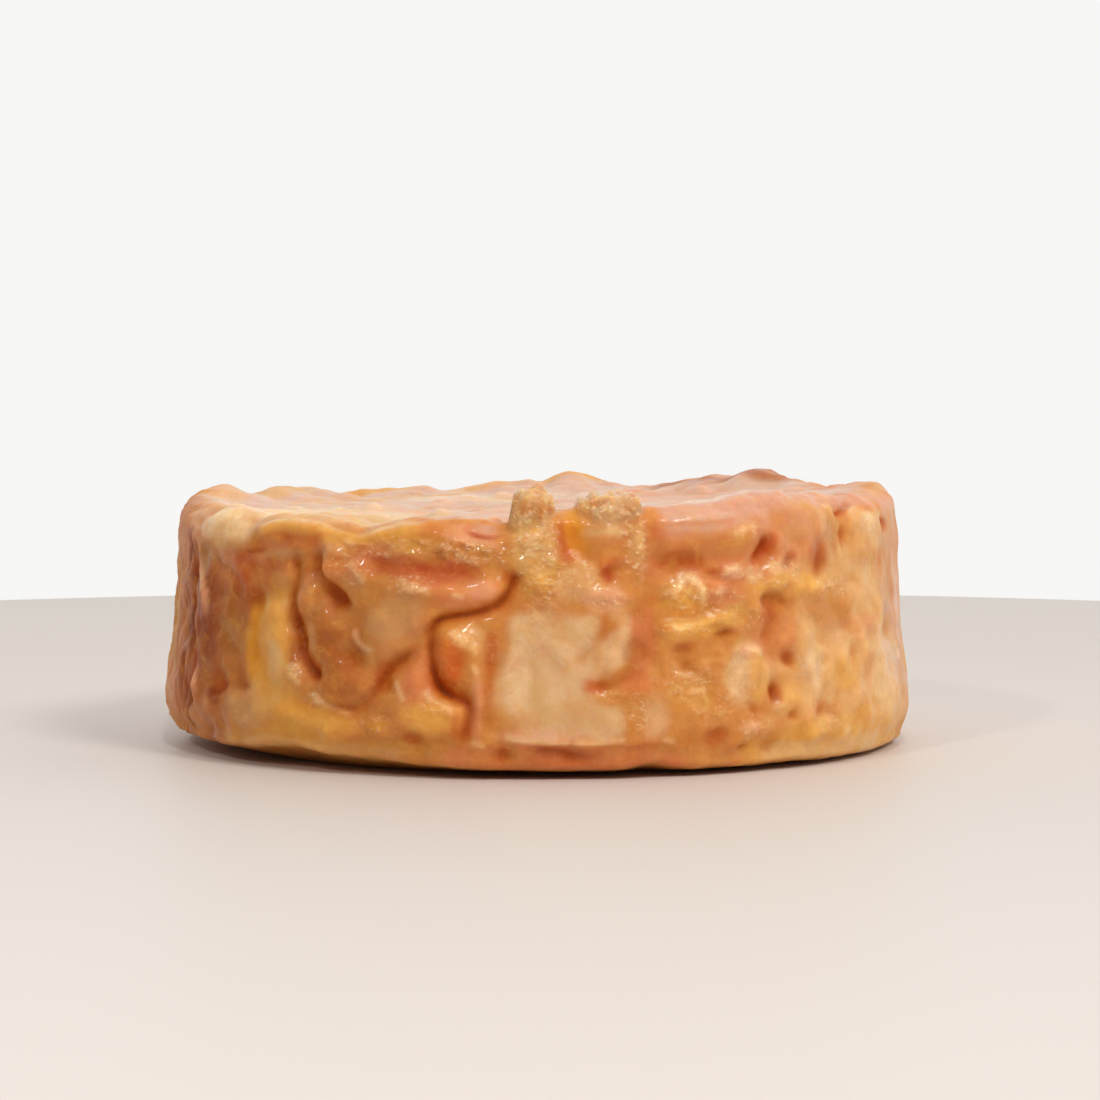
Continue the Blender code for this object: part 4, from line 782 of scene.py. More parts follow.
# Where the rind is pebbly, and where it is a dry crust: a height here is a share of grain.
GRAINS = [Lump(*row) for row in (
    ((-10, 30.2), 5.6, 1.9, 0.74), ((-22, 30.8), 7, 1.6, 0.6), ((-29.6, 27.6), 3.6, 2.6, 0.5),
    ((-19, 25.4), 4.4, 1.4, 0.7), ((0.2, 28.2), 3, 9.8, 0.86), ((6, 26.6), 3, 2.6, 0.5),
    ((10.4, 23.6), 3.4, 1.9, 0.6), ((14.8, 30.4), 1.9, 4.6, 0.86), ((62.8, 31.5), 3.2, 1.2, 0.8),
    ((22, 24.2), 4, 2.8, 0.74), ((27.6, 22.8), 3.4, 2.2, 0.6), ((30, 26.8), 2.4, 1.2, 0.7),
    ((37, 26.4), 5, 1.8, 0.6), ((50, 24), 5, 1.6, 0.5), ((32, 31.4), 3.4, 1, 0.7),
    ((22, 19.6), 5, 1, 0.5), ((22.4, 12.4), 5, 3, 0.45), ((31, 13.4), 4, 4.4, 0.3),
    ((26, 9), 3.4, 2.4, 0.5), ((30, 20.6), 5, 1.8, 0.4), ((33, 6), 3.6, 2, 0.5),
    ((-38.4, 13.2), 1.7, 1.4, 0.9), ((-33.6, 10), 2, 0.8, 0.8), ((-24, 7.2), 3, 1.4, 0.4),
    ((-11, 18.8), 1.8, 1.4, 0.6), ((-14.6, 9.8), 2.2, 1, 0.5), ((-7, 18), 1.2, 2.6, 0.5),
    ((9.8, 11.2), 2.6, 0.9, 0.8), ((14, 8.6), 1.6, 3, 0.6), ((48, 6.4), 4, 1.6, 0.4),
    ((-57, 27.4), 4, 2, 0.3),
)]
# The grain that is everywhere, the grain from which it breaks into crumbs, and the shares of the
# grain and of the hollows that the top face loses.
LEAST_GRAIN, CRUMBLY_GRAIN = 0.12, 0.75
TOP_GRAIN_LOSS, TOP_HOLLOW_LOSS = 0.7, 0.5

# How dabs and streaks are drawn, in half sizes: how far they reach, where their edge is, and how
# wide it blurs. An oval's depth is its third half size. The paint's edges wander by a noise.
OVAL_REACH, OVAL_EDGE, OVAL_BLUR, OVAL_DEPTH = 1.6, 1.35, 0.75, 0.8
STREAK_REACH, STREAK_EDGE, STREAK_BLUR, STREAK_WANDER = 2, 1.5, 0.9, 1.3
EDGE_SIZE, EDGE_REACH = 3.2, 0.3
TOP_EDGE, TOP_BLUR, TOP_WANDER = 1.6, 2.6, 4

# The depth in millimetres at which a fold has its full painted shade. For each colour of a fold's
# painted shade: its strength, its half width in widths of the fold, and how sharply it ends.
DEEP_FOLD = 1.6
FOLD_SHADE_PAINT = {"rust": (0.8, 1.6, 2), "umber": (0.45, 0.8, 1.5)}
# Raised crumbs go pale and their dips darker, partly the crust's own colour and partly painted light and
# shade.
# The paint of crumbs, by colour: its growth with a crumb's height, its start and its most.
CRUMB_COLOUR_LIGHT_AND_SHADE = (("ochre", -2.4, 0.0, 0.6), ("rust", -3.0, -0.6, 0.5), ("shell", 2.4, 0.0, 0.4))
# Strengths of the other paint, among them partly painted light and shade on the pleats and painted
# highlights on the pebbles and glints, and the rise from which a knob has its own.
KNOB_PAINT, KNOB_WASH, KNOB_PAINT_RISE = 0.9, 0.3, 0.8
RIDGE_PAINT, VALLEY_PAINT, PEBBLE_HIGHLIGHT_PAINT, GLINT_HIGHLIGHT_PAINT = 0.55, 0.35, 0.25, 0.45

# What the material reads of the mesh: cells that a hollow and a dry stretch are averaged over.
HOLLOW_CELLS, DRY_CELLS, DRY_GAIN = 6, 8, 3.0

# The material's noises: size in metres, detail, distortion and upright squash.
NOISES = {
    "blotch": (0.0045, 3.0, 0.6),
    "stain": (0.0024, 2.0, 1.2),
    "freckle": (0.0011, 3.0, 0.4),
    "crumb": (0.0013, 1.0, 0.4, 1.3),
    "sparkle": (0.0007, 0.0, 0.0, 1.2),
    "wet": (0.006, 2.0),
    "fine": (0.0005, 3.0),
    "medium": (0.0014, 3.0, 0.3),
    "grainy": (0.0009, 2.0, 0.5),
}
# Stains all over: the noise, where it begins and is full, its strength, and its colour.
STAINS = (
    ("stain", 0.56, 0.7, 0.25, "straw"),
    ("stain", 0.44, 0.3, 0.2, "salmon"),
    ("blotch", 0.52, 0.72, 0.4, BROWNER),
    ("blotch", 0.48, 0.3, 0.25, "straw"),
)
FRECKLES = (
    ("freckle", 0.54, 0.72, 0.3, PALER),
    ("freckle", 0.44, 0.3, 0.2, DEEPER),
)
# How far each reading counts: where it begins and ends, and what it becomes there, 0 and 1 if
# that isn't given.
RANGES = {
    "moist": (0.0, 1.0, 1.0, 0.2),
    "lively": (0.0, LEAST_GRAIN, 0.2, 1.0),
    "crumb_noise": (0.52, 0.7),
    "crumb_grain": (0.1, 0.8),
    "sparkle_noise": (0.64, 0.76),
    "sparkle_grain": (0.15, 0.7),
    "crumb_tint": (0.0, 1.0, 0.0, 0.3),
    "sparkle_tint": (0.0, 1.0, 0.0, 0.55),
    "valley_tint": (-0.08, -0.8, 0.0, 0.75),
    "ridge_tint": (0.1, 0.6, 0.0, 0.8),
    "wet_roughness": (0.35, 0.65, 0.36, 0.54),
    "dry_roughness": (1.0, 0.2, 0.0, 0.25),
    "wet_shine": (0.6, 0.4, 0.04, 0.36),
    "grain_shine": (0.1, 1.0, 0.0, 0.3),
    "valley_shine": (-0.35, 0.0),
    "grain_bump": (0.0, 1.0, 0.0, 2.0),
    "fine_bump": (0.0, 1.0, 0.0, 0.25),
    "lively_bump": (0.0, 1.0, 0.3, 1.0),
    "sparkle_bump": (0.0, 1.0, 0.0, 0.8),
}
RIND_SETTINGS = {
    "Subsurface Weight": 0.7,
    "Subsurface Radius": (1.0, 0.36, 0.12),
    "Subsurface Scale": 0.0032,
    "Specular IOR Level": 0.14,
    "Coat Roughness": 0.12,
    "IOR": 1.45,
}
BUMP_STRENGTH, BUMP_DISTANCE = 0.35, 0.0005

# The view: a long lens a little above the table.
CAMERA_PLACE = (0.0, -0.55, 0.062)
CAMERA_TARGET = (0.0017, 0.0, 0.0269)
CAMERA_LENS, CAMERA_SENSOR = 126.0, 36.0

# Lamps: place, size, power and colour.
LAMPS = {
    "key": ((0.8, -0.96, 1.12), 0.48, 11.0, (1.0, 0.97, 0.93)),
    "glint_left": ((-0.35, -0.6, 0.5), 0.06, 1.2, (1.0, 0.97, 0.94)),
    "glint_high": ((0.05, -0.55, 0.75), 0.06, 1.4, (1.0, 0.98, 0.95)),
}
LAMP_TARGET = (0.0, 0.0, 0.02)

# The surrounding light: the side it is brightest on, and its least and greatest strength.
BRIGHT_SIDE = (0.45, 0.85, 0.25)
DIM_SIDE_AT, BRIGHT_SIDE_AT = -0.5, 0.6
DIM_LIGHT, BRIGHT_LIGHT = 0.18, 0.97
WORLD_COLOUR = (0.96, 0.955, 0.94, 1.0)

# The table top under the cheese.
FLOOR_RADIUS, FLOOR_SIDES, FLOOR_ROUGHNESS = 0.28, 96, 0.5


def smooth_step(x):
    """An S-shaped rise from 0, up to x = 0, to 1, from x = 1 on."""
    x = np.clip(x, 0.0, 1.0)
    return x * x * (3.0 - 2.0 * x)


def bell(distance):
    """1 at no distance, falling off on both sides like a rounded hill."""
    return np.exp(-(distance**2))


def polar(points):
    """Each point's angle in degrees from the front, and its distance from the axis."""
    return np.degrees(np.arctan2(points[:, 0], -points[:, 1])), np.hypot(points[:, 0], points[:, 1])


def degrees_off(angle, middle):
    """How far an angle is past a middle, the short way round."""
    return (angle - middle + 180.0) % 360.0 - 180.0


def turned(u, v, turn):
    """Two distances along axes at right angles, measured again along axes turned by some degrees."""
    c, s = math.cos(math.radians(turn)), math.sin(math.radians(turn))
    return c * u + s * v, c * v - s * u


def noise_at(points, size, kind):
    shift = SHIFTS[kind]
    return np.array([noise.noise(Vector(p) / size + Vector((shift, -shift, 2 * shift))) for p in points])


def spline(points, step):
    """Points about a step apart on a smooth curve through the given points."""
    p = np.asarray(points, float)
    p = np.vstack([2 * p[0] - p[1], p, 2 * p[-1] - p[-2]])
    made = []
    for a, b, c, d in zip(p, p[1:], p[2:], p[3:]):
        count = max(2, round(float(np.linalg.norm(c - b)) / step))
        t = (np.arange(count) / count)[:, None]
        made.append(0.5 * (2 * b + (c - a) * t + (2 * a - 5 * b + 4 * c - d) * t**2
                           + (3 * b - a - 3 * c + d) * t**3))
    made.append(p[-2:-1])
    return np.vstack(made)


def profile():
    """Radius and height along the plain form, from the middle of the base to the middle of the top."""
    curved = spline(
        (
            (FOOT_RADIUS, 0.0),
            (TOE_RADIUS, TOE_HEIGHT),
            (INSTEP_RADIUS, INSTEP_HEIGHT),
            (BELLY_RADIUS, BELLY_HEIGHT),
            (WAIST_RADIUS, WAIST_HEIGHT),
            (SHOULDER_RADIUS, SHOULDER_HEIGHT),
            (RIM_RADIUS, RIM_HEIGHT),
            (CREST_RADIUS, CREST_HEIGHT),
            (DISH_RADIUS, DISH_HEIGHT),
            (0.0, CENTRE_HEIGHT),
        ),
        ROW_STEP,
    )
    base = np.linspace((ROW_STEP, 0.0), (FOOT_RADIUS, 0.0), BASE_POINTS)[:-1]
    return np.vstack([base, curved[curved[:, 0] > ROW_STEP]])


def place(angle, radius, height):
    turn = np.radians(angle)
    return np.stack(np.broadcast_arrays(radius * np.sin(turn), -radius * np.cos(turn), height), -1)


def on_side(path, rows):
    """Points of the plain form's side, from (angle, height) pairs."""
    side = rows[: int(np.argmax(rows[:, 1])) + 1]
    side = side[side[:, 1] > 0]
    angle, height = np.array([each[:2] for each in path], float).T
    return place(angle, np.interp(height, side[:, 1], side[:, 0]), height)


def on_top(path, rows):
    """Points of the plain form's top face, from (angle, radius) pairs."""
    top = rows[int(np.argmax(rows[:, 1])):][::-1]
    angle, radius = np.asarray(path, float).T
    return place(angle, radius, np.interp(radius, top[:, 0], top[:, 1]))


def line_on_side(path, rows):
    """A smooth line on the side, each of its points with the path's share there as a fourth number."""
    shares = [each[2] if len(each) > 2 else 1.0 for each in path]
    return spline(np.column_stack([on_side(path, rows), shares]), LINE_STEP)


def line_on_top(path, rows):
    return spline(np.column_stack([on_top(path, rows), np.ones(len(path))]), LINE_STEP)


def near_line(points, normals, line, reach):
    """The points within reach of a line: which, how far, how far to its left, and the line's share there.

    The share fades to nothing at the line's ends.
    """
    line, shares = line[:, :3], line[:, 3]
    low, high = line.min(0) - reach, line.max(0) + reach
    which = np.nonzero(((points >= low) & (points <= high)).all(1))[0]
    p, n = points[which], normals[which]
    far = np.full(len(which), np.inf)
    left, along, share = np.zeros((3, len(which)))
    for i, (a, b) in enumerate(zip(line, line[1:])):
        d = b - a
        t = np.clip((p - a) @ d / (d @ d), 0.0, 1.0)
        off = p - a - t[:, None] * d
        length = np.linalg.norm(off, axis=1)
        better = length < far
        far[better] = length[better]
        left[better] = (off * np.cross(n, d / np.linalg.norm(d))).sum(1)[better]
        along[better] = (i + t[better]) / (len(line) - 1)
        share[better] = (shares[i] + t * (shares[i + 1] - shares[i]))[better]
    fade = min(0.5, END_FADE / (LINE_STEP * len(line)))
    share *= smooth_step(along / fade) * smooth_step((1.0 - along) / fade)
    return which, far, left, share


def fold_width(left, fold):
    """The fold's width on each side of its line: narrow under the raised lobe, wide on the other."""
    side = np.sign(fold.lip) * np.tanh(left / LIP_EDGE)
    return fold.width * (FOLD_SPREAD - FOLD_LEAN * side), side


def fold_relief(points, normals, line, fold):
    """A sharp valley with round shoulders, and a lip that stands over it."""
    which, far, left, share = near_line(points, normals, line, FOLD_REACH * fold.width + LIP_REACH)
    width, side = fold_width(left, fold)
    near = np.sqrt(far**2 + FOLD_SOFTNESS**2) - FOLD_SOFTNESS
    made = -(1.0 - SHOULDER_SHARE) * fold.depth * np.exp(-near / width)
    made -= SHOULDER_SHARE * fold.depth * bell(far / (SHOULDER_REACH * fold.width))
    made += abs(fold.lip) * side * np.exp(-far / LIP_REACH)
    return which, made * share


def roll_relief(points, normals, line, roll):
    which, far, _, share = near_line(points, normals, line, ROLL_REACH * roll.width)
    return which, roll.height * bell(far / roll.width) * share


def lump_relief(points, lump, rows):
    centre = on_side([lump.at], rows)[0]
    facing = math.radians(lump.at[0])
    across = np.array([math.cos(facing), math.sin(facing), 0.0])
    reach = LUMP_REACH * max(lump.half_width, lump.half_height)
    which = np.nonzero(np.linalg.norm(points - centre, axis=1) < reach)[0]
    off = points[which] - centre
    u, v = turned(off @ across, off[:, 2], lump.turn)
    return which, lump.height * np.exp(-((u / lump.half_width) ** 2 + (v / lump.half_height) ** 2))


def repeated_place(place_on_side, repeat):
    angle, height, *share = place_on_side
    off = angle - (repeat.first + repeat.last) / 2
    return (
        repeat.centre + (-off if repeat.mirrored else off),
        REPEAT_HEIGHT - height if repeat.upside_down else height,
        *share,
    )


def with_repeats(front):
    """The front's features, then those that the unseen side repeats. Each flip swaps their two sides."""
    yield from front
    for repeat in REPEATS:
        swap = -1.0 if repeat.mirrored != repeat.upside_down else 1.0
        for feature in front:
            path = getattr(feature, "path", None) or (feature.at,)
            if not all(repeat.first <= each[0] <= repeat.last for each in path):
                continue
            moved = tuple(repeated_place(each, repeat) for each in path)
            if hasattr(feature, "lip"):
                yield feature._replace(path=moved, lip=swap * feature.lip)
            elif hasattr(feature, "path"):
                yield feature._replace(path=moved)
            else:
                yield feature._replace(at=moved[0], turn=swap * feature.turn)


def top_arcs():
    """Random arcs on the top face, as rolls along (angle, radius) paths."""
    chance = random.Random(ARC_SEED)
    for _ in range(ARC_COUNT):
        x, y = 2 * ARC_REACH, 0.0
        while math.hypot(x, y) > ARC_REACH:
            x, y = chance.uniform(-ARC_REACH, ARC_REACH), chance.uniform(-ARC_REACH, ARC_REACH)
        heading = chance.uniform(0.0, 2 * math.pi)
        bend = chance.uniform(-ARC_BEND, ARC_BEND)
        path = []
        for _ in range(round(chance.uniform(*ARC_LENGTH))):
            if math.hypot(x, y) > ARC_REACH:
                break
            path.append((math.degrees(math.atan2(x, -y)), math.hypot(x, y)))
            x, y = x + math.cos(heading), y + math.sin(heading)
            heading += bend
        height = chance.uniform(*ARC_HEIGHT) * chance.choice((-1.0, 1.0))
        if len(path) >= ARC_LEAST_POINTS:
            yield Roll(tuple(path), height, chance.uniform(*ARC_WIDTH))


def smoothness(points, rows):
    """From 0 to 1, how smooth the rind is."""
    smooth = np.zeros(len(points))
    for lump in with_repeats(SMOOTH):
        which, made = lump_relief(points, lump, rows)
        smooth[which] = np.maximum(smooth[which], made)
    return smooth


def pushes(points, normals, rows):
    """Which points each fold, roll and lump moves, and how far."""
    for fold in with_repeats(FOLDS):
        yield fold_relief(points, normals, line_on_side(fold.path, rows), fold)
    for roll in with_repeats(ROLLS):
        yield roll_relief(points, normals, line_on_side(roll.path, rows), roll)
    for roll in (*TOP_ROLLS, *top_arcs()):
        yield roll_relief(points, normals, line_on_top(roll.path, rows), roll)
    for lump in with_repeats(LUMPS):
        yield lump_relief(points, lump, rows)


def relief(points, normals, rows):
    """How far each point of the plain form moves along its normal, in millimetres."""
    moved = SWELL_HEIGHT * noise_at(points, SWELL_SIZE, "swell")
    rough = 1.0 - smoothness(points, rows)
    moved += RIPPLE_HEIGHT * rough * noise_at(points, RIPPLE_SIZE, "ripple")
    moved += DIMPLE_HEIGHT * rough * noise_at(points, DIMPLE_SIZE, "dimple")
    moved += PLEAT_HEIGHT * pleats(points)
    for which, made in pushes(points, normals, rows):
        moved[which] += made
    return moved


def tilted(angle, tilt, high_angle):
    return tilt * np.cos(np.radians(angle - high_angle))


def rises_round(angle, lumps):
    """The summed rises of a list of rim lumps at each angle."""
    rise = np.zeros(len(angle))
    for lump in lumps:
        rise += lump.rise * bell(degrees_off(angle, lump.angle) / lump.spread)
    return rise


def edge_rise(points):
    """How far each point near the lower edge moves up."""
    angle, radius = polar(points)
    rise = tilted(angle, EDGE_TILT, EDGE_HIGH_ANGLE) + rises_round(angle, EDGE_LUMPS)
    outside = smooth_step((radius - FOOT_RADIUS) / (TOE_RADIUS - FOOT_RADIUS))
    return rise * outside * smooth_step(1.0 - points[:, 2] / EDGE_TOP_HEIGHT)


def rim_rise(points):
    """How far each point near the rim moves up."""
    angle, radius = polar(points)
    tilt = tilted(angle, RIM_TILT, RIM_HIGH_ANGLE)
    rise = tilt + rises_round(angle, RIM_LUMPS)
    inside = smooth_step((radius - RIM_INNER_RADIUS) / (CREST_RADIUS - RIM_INNER_RADIUS))
    above = smooth_step((points[:, 2] - RIM_LOW_HEIGHT) / (CREST_HEIGHT - RIM_LOW_HEIGHT))
    return above * (inside * rise + (1.0 - inside) * (tilt * radius / CREST_RADIUS))


def pleats(points):
    """Thin upright ridges of the drier skin, from -1 in a valley to 1 on a ridge, and 0 elsewhere."""
    angle, radius = polar(points)
    dry = np.zeros(len(points))
    for middle, half_width in PLEATED:
        dry = np.maximum(dry, smooth_step((half_width - np.abs(degrees_off(angle, middle))) / PLEAT_FADE))
    dry *= smooth_step((radius - RIM_RADIUS) / PLEAT_EDGE)
    wave = noise_at(points * (1.0, 1.0, PLEAT_STRETCH), PLEAT_SIZE, "pleat")
    return dry * np.clip(1.0 - PLEAT_SHARPNESS * np.abs(wave), -1.0, 1.0)


def pebbles(points):
    """Small ridges that lie along the rim: 1 on a ridge, falling below 0 between them."""
    wave = noise_at(points * (1.0, 1.0, PEBBLE_SQUASH), PEBBLE_SIZE, "pebble")
    return 1.0 - PEBBLE_SHARPNESS * np.abs(wave)


def knob_rise(points):
    """The steep crusty knobs on the front rim."""
    angle, radius = polar(points)
    made = np.zeros(len(points))
    for knob in KNOBS:
        u = np.radians(angle - knob.angle) * KNOB_RADIUS / knob.half_width
        v = (radius - KNOB_RADIUS) / knob.half_depth
        far = (u**4 + v**4) ** 0.25
        made = np.maximum(made, knob.height * smooth_step((KNOB_FOOT - far) / KNOB_FLANK))
    return made * smooth_step((points[:, 2] - SHOULDER_HEIGHT) / KNOB_RUN)


def add_crust(moved, rise):
    """Breaks the knobs' crust: their points shift away from a knob's middle, and up or down."""
    which = np.nonzero(rise > LEAST_RISE)[0]
    radius = np.hypot(moved[which, 0], moved[which, 1])
    side = np.tanh(radius - KNOB_RADIUS)
    share = np.clip(rise[which] / CRUSTED_RISE, 0.0, 1.0)
    push = KNOB_LEAN * rise[which]
    push += CRUST_HEIGHT * share * noise_at(moved[which], CRUST_SIZE, "crust_side")
    moved[which, :2] += moved[which, :2] * (push * side / radius)[:, None]
    moved[which, 2] += CRUST_HEIGHT * share * noise_at(moved[which], CRUST_SIZE, "crumb")


def ring_places(rows):
    """Radius and height of each ring of the mesh: closer at the shoulder, wider apart on the top."""
    steps = np.linalg.norm(np.diff(rows, axis=0), axis=1)
    along = np.concatenate([[0.0], np.cumsum(steps)])
    foot = float(along[BASE_POINTS - 1])
    crest, end = along[int(np.argmax(rows[:, 1]))], along[-1]
    stops = [foot * share for share in BASE_RINGS]
    at = foot
    while at < end - LAST_RING:
        stops.append(at)
        past = max(0.0, at - crest) / (end - crest)
        shoulder = SHOULDER_HEIGHT < np.interp(at, along, rows[:, 1]) < RIM_HEIGHT and past == 0.0
        at += ROW_STEP * (SHOULDER_STEP_SHARE if shoulder else 1.0 + TOP_STEP_GROWTH * past)
    return np.stack([np.interp(stops, along, rows[:, 0]), np.interp(stops, along, rows[:, 1])], -1)


def turned_grid(rings):
    """Points and outward normals of the plain form, ring by ring, with more columns at the front."""
    ahead = np.vstack([rings[1:], (0.0, CENTRE_HEIGHT)])
    behind = np.vstack([(0.0, 0.0), rings[:-1]])
    slope = ahead - behind
    slope /= np.linalg.norm(slope, axis=1)[:, None]
    turn = 2 * math.pi * np.arange(COLUMNS) / COLUMNS
    angles = np.degrees(turn - FRONT_CROWDING * np.sin(turn))
    points = np.stack([place(angles, r, z) for r, z in rings])
    normals = np.stack([place(angles, dz, -dr) for dr, dz in slope])
    return points.reshape(-1, 3), normals.reshape(-1, 3)


def grid_faces(ring_count):
    """Quads between rings and a fan at each pole, all facing out."""
    faces = []
    for ring in range(ring_count - 1):
        start, above = ring * COLUMNS, (ring + 1) * COLUMNS
        for column in range(COLUMNS):
            after = (column + 1) % COLUMNS
            faces.append((start + column, start + after, above + after, above + column))
    low_pole, high_pole = ring_count * COLUMNS, ring_count * COLUMNS + 1
    last = (ring_count - 1) * COLUMNS
    for column in range(COLUMNS):
        after = (column + 1) % COLUMNS
        faces.append((after, column, low_pole))
        faces.append((last + column, last + after, high_pole))
    return faces


def oval_cover(points, centre, oval, wander, on_face=False):
    """Which points an oval reaches, and how much each of them is covered, from 0 to 1."""
    outward = np.array([centre[0], centre[1], 0.0]) / math.hypot(centre[0], centre[1])
    across = np.array([-outward[1], outward[0], 0.0])
    size = max(oval.half_width, oval.half_height)
    which = np.nonzero((np.abs(points - centre) < OVAL_REACH * size).all(1))[0]
    off = points[which] - centre
    u, out, rise = off @ across, off @ outward, off[:, 2]
    # On the side the oval stands up; on the top it lies down, so its height runs inward.
    v, away = (-out, rise) if on_face else (rise, out)
    u, v = turned(u, v, oval.turn)
    far = np.hypot(u / oval.half_width, v / oval.half_height)
    far = np.hypot(far, away / (OVAL_DEPTH * size))
    return which, smooth_step((OVAL_EDGE - far + wander[which]) / OVAL_BLUR)


def top_share(points, wander=0.0):
    """From 0 on the side to 1 on the top."""
    radius = polar(points)[1]
    above = points[:, 2] > BELLY_HEIGHT
    return above * smooth_step((CREST_RADIUS + TOP_EDGE - radius + wander) / TOP_BLUR)


def grain_cover(points, rows):
    """From 0 to 1, how pebbly the rind is."""
    wander = EDGE_REACH * noise_at(points, EDGE_SIZE, "grain_edge")
    grain = np.full(len(points), LEAST_GRAIN)
    for oval in with_repeats(GRAINS):
        which, cover = oval_cover(points, on_side([oval.at], rows)[0], oval, wander)
        grain[which] = np.maximum(grain[which], oval.height * cover)
    knobs = np.clip(knob_rise(points) / CRUSTED_RISE, 0.0, 1.0)
    calm = (1.0 - smoothness(points, rows)) * (1.0 - TOP_GRAIN_LOSS * top_share(points))
    return np.maximum(grain * calm, knobs)


def crusty(grain):
    """From 0 to 1, where the grain is at its strongest and breaks into crumbs."""
    return smooth_step((grain - CRUMBLY_GRAIN) / (1.0 - CRUMBLY_GRAIN))


def fine_relief(points, normals, rows, grain):
    moved = WRINKLE_HEIGHT * noise_at(points, WRINKLE_SIZE, "wrinkle")
    moved += PEBBLE_HEIGHT * grain * (pebbles(points) - PEBBLE_LEVEL)
    moved += CRUMB_HEIGHT * crusty(grain) * noise_at(points, CRUMB_SIZE, "crumb")
    for path in GLINTS:
        which, far, _, _ = near_line(points, normals, line_on_side(path, rows), GLINT_REACH)
        moved[which] += GLINT_HEIGHT * bell(far / GLINT_WIDTH)
    return moved


def linear(rgb):
    """Linear light from an 8-bit sRGB colour."""
    return tuple(((c / 255 + 0.055) / 1.055) ** 2.4 if c > 10 else c / 3294.6 for c in rgb)


class Paint:
    """The rind's colour at each point, in linear light, built up coat by coat."""

    def __init__(self, points, normals, rows):
        self.points, self.normals, self.rows = points, normals, rows
        self.wander = EDGE_REACH * noise_at(points, EDGE_SIZE, "paint_edge")
        self.colours = np.tile(linear(PALETTE["amber"]), (len(points), 1))

    def coat(self, colour, cover, which=slice(None)):
        self.colours[which] += cover[:, None] * (np.array(linear(PALETTE[colour])) - self.colours[which])

    def near(self, path, reach):
        return near_line(self.points, self.normals, line_on_side(path, self.rows), reach)

    def dabs(self, dabs, on_form, on_face=False):
        for dab in dabs:
            centre = on_form([dab.at], self.rows)[0]
            which, cover = oval_cover(self.points, centre, dab, self.wander, on_face)
            self.coat(dab.colour, dab.strength * cover, which)

    def streaks(self):
        for streak in with_repeats(STREAKS):
            which, far, _, share = self.near(streak.path, STREAK_REACH * streak.half_width)
            edge = STREAK_EDGE - far / streak.half_width + STREAK_WANDER * self.wander[which]
            self.coat(streak.colour, streak.strength * smooth_step(edge / STREAK_BLUR) * share, which)

    def folds(self):
        """Painted shade in the folds, darker the deeper they are."""
        for fold in with_repeats(FOLDS):
            which, far, left, share = self.near(fold.path, FOLD_REACH * fold.width)
            width, _ = fold_width(left, fold)
            deep = np.clip(share * fold.depth / DEEP_FOLD, 0.0, 1.0)
            for colour, (strength, half_width, power) in FOLD_SHADE_PAINT.items():
                self.coat(colour, strength * deep * np.exp(-((far / (half_width * width)) ** power)), which)

    def pleats(self):
        ridges = pleats(self.points)
        # The pleats' ridges go dusty and their valleys mauve: partly the drier skin's own colour, partly
        # painted light and shade.
        self.coat("dusty", RIDGE_PAINT * np.clip(ridges, 0.0, 1.0))
        self.coat("mauve", VALLEY_PAINT * np.clip(-ridges, 0.0, 1.0))

    def crumbs(self, moved, grain):
        # Painted highlights on the pebbles' ridges.
        self.coat("shell", PEBBLE_HIGHLIGHT_PAINT * grain * np.clip(pebbles(self.points), 0.0, 1.0) ** 2)
        # Raised crumbs go pale and their dips darker: partly the crust's own colour, partly painted light
        # and shade.
        crumbs = crusty(grain) * noise_at(moved, CRUST_SIZE, "crumb")
        for colour, growth, start, most in CRUMB_COLOUR_LIGHT_AND_SHADE:
            self.coat(colour, np.clip(growth * crumbs + start, 0.0, most))

    def glint_highlights(self):
        # Painted highlights on the wet bumps.
        for path in GLINTS:
            which, far, _, _ = self.near(path, GLINT_REACH)
            self.coat("shell", GLINT_HIGHLIGHT_PAINT * bell(far / GLINT_WIDTH), which)


def unseen_fields():
    for middle in UNSEEN_MIDDLES:
        for dab in UNSEEN_FIELDS:
            yield dab._replace(at=(middle + dab.at[0], dab.at[1]))


def painted(points, normals, rows, moved, grain):
    """The rind's colour at each point, in linear light, with painted light and shade among its coats."""
    paint = Paint(points, normals, rows)
    paint.dabs((*FIELDS, *unseen_fields(), *with_repeats(DABS)), on_side)
    paint.coat("petal", top_share(points, TOP_WANDER * paint.wander))
    on_knobs = smooth_step(knob_rise(points) / KNOB_PAINT_RISE)
    paint.coat("crust", KNOB_PAINT * on_knobs)
    paint.dabs(TOP_DABS, on_top, on_face=True)
    paint.streaks()
    paint.folds()
    paint.pleats()
    paint.crumbs(moved, grain)
    paint.coat("crust", KNOB_WASH * on_knobs)
    paint.glint_highlights()
    return paint.colours


def softened(values, ring_count, reach):
    """The values of the grid averaged over a square of cells."""
    grid = values.reshape(ring_count, COLUMNS)
    spans = range(-reach, reach + 1)
    grid = sum(np.roll(grid, step, axis=1) for step in spans) / len(spans)
    padded = np.pad(grid, ((reach, reach), (0, 0)), mode="edge")
    grid = sum(padded[reach + step: reach + step + ring_count] for step in spans) / len(spans)
    return grid.reshape(-1)


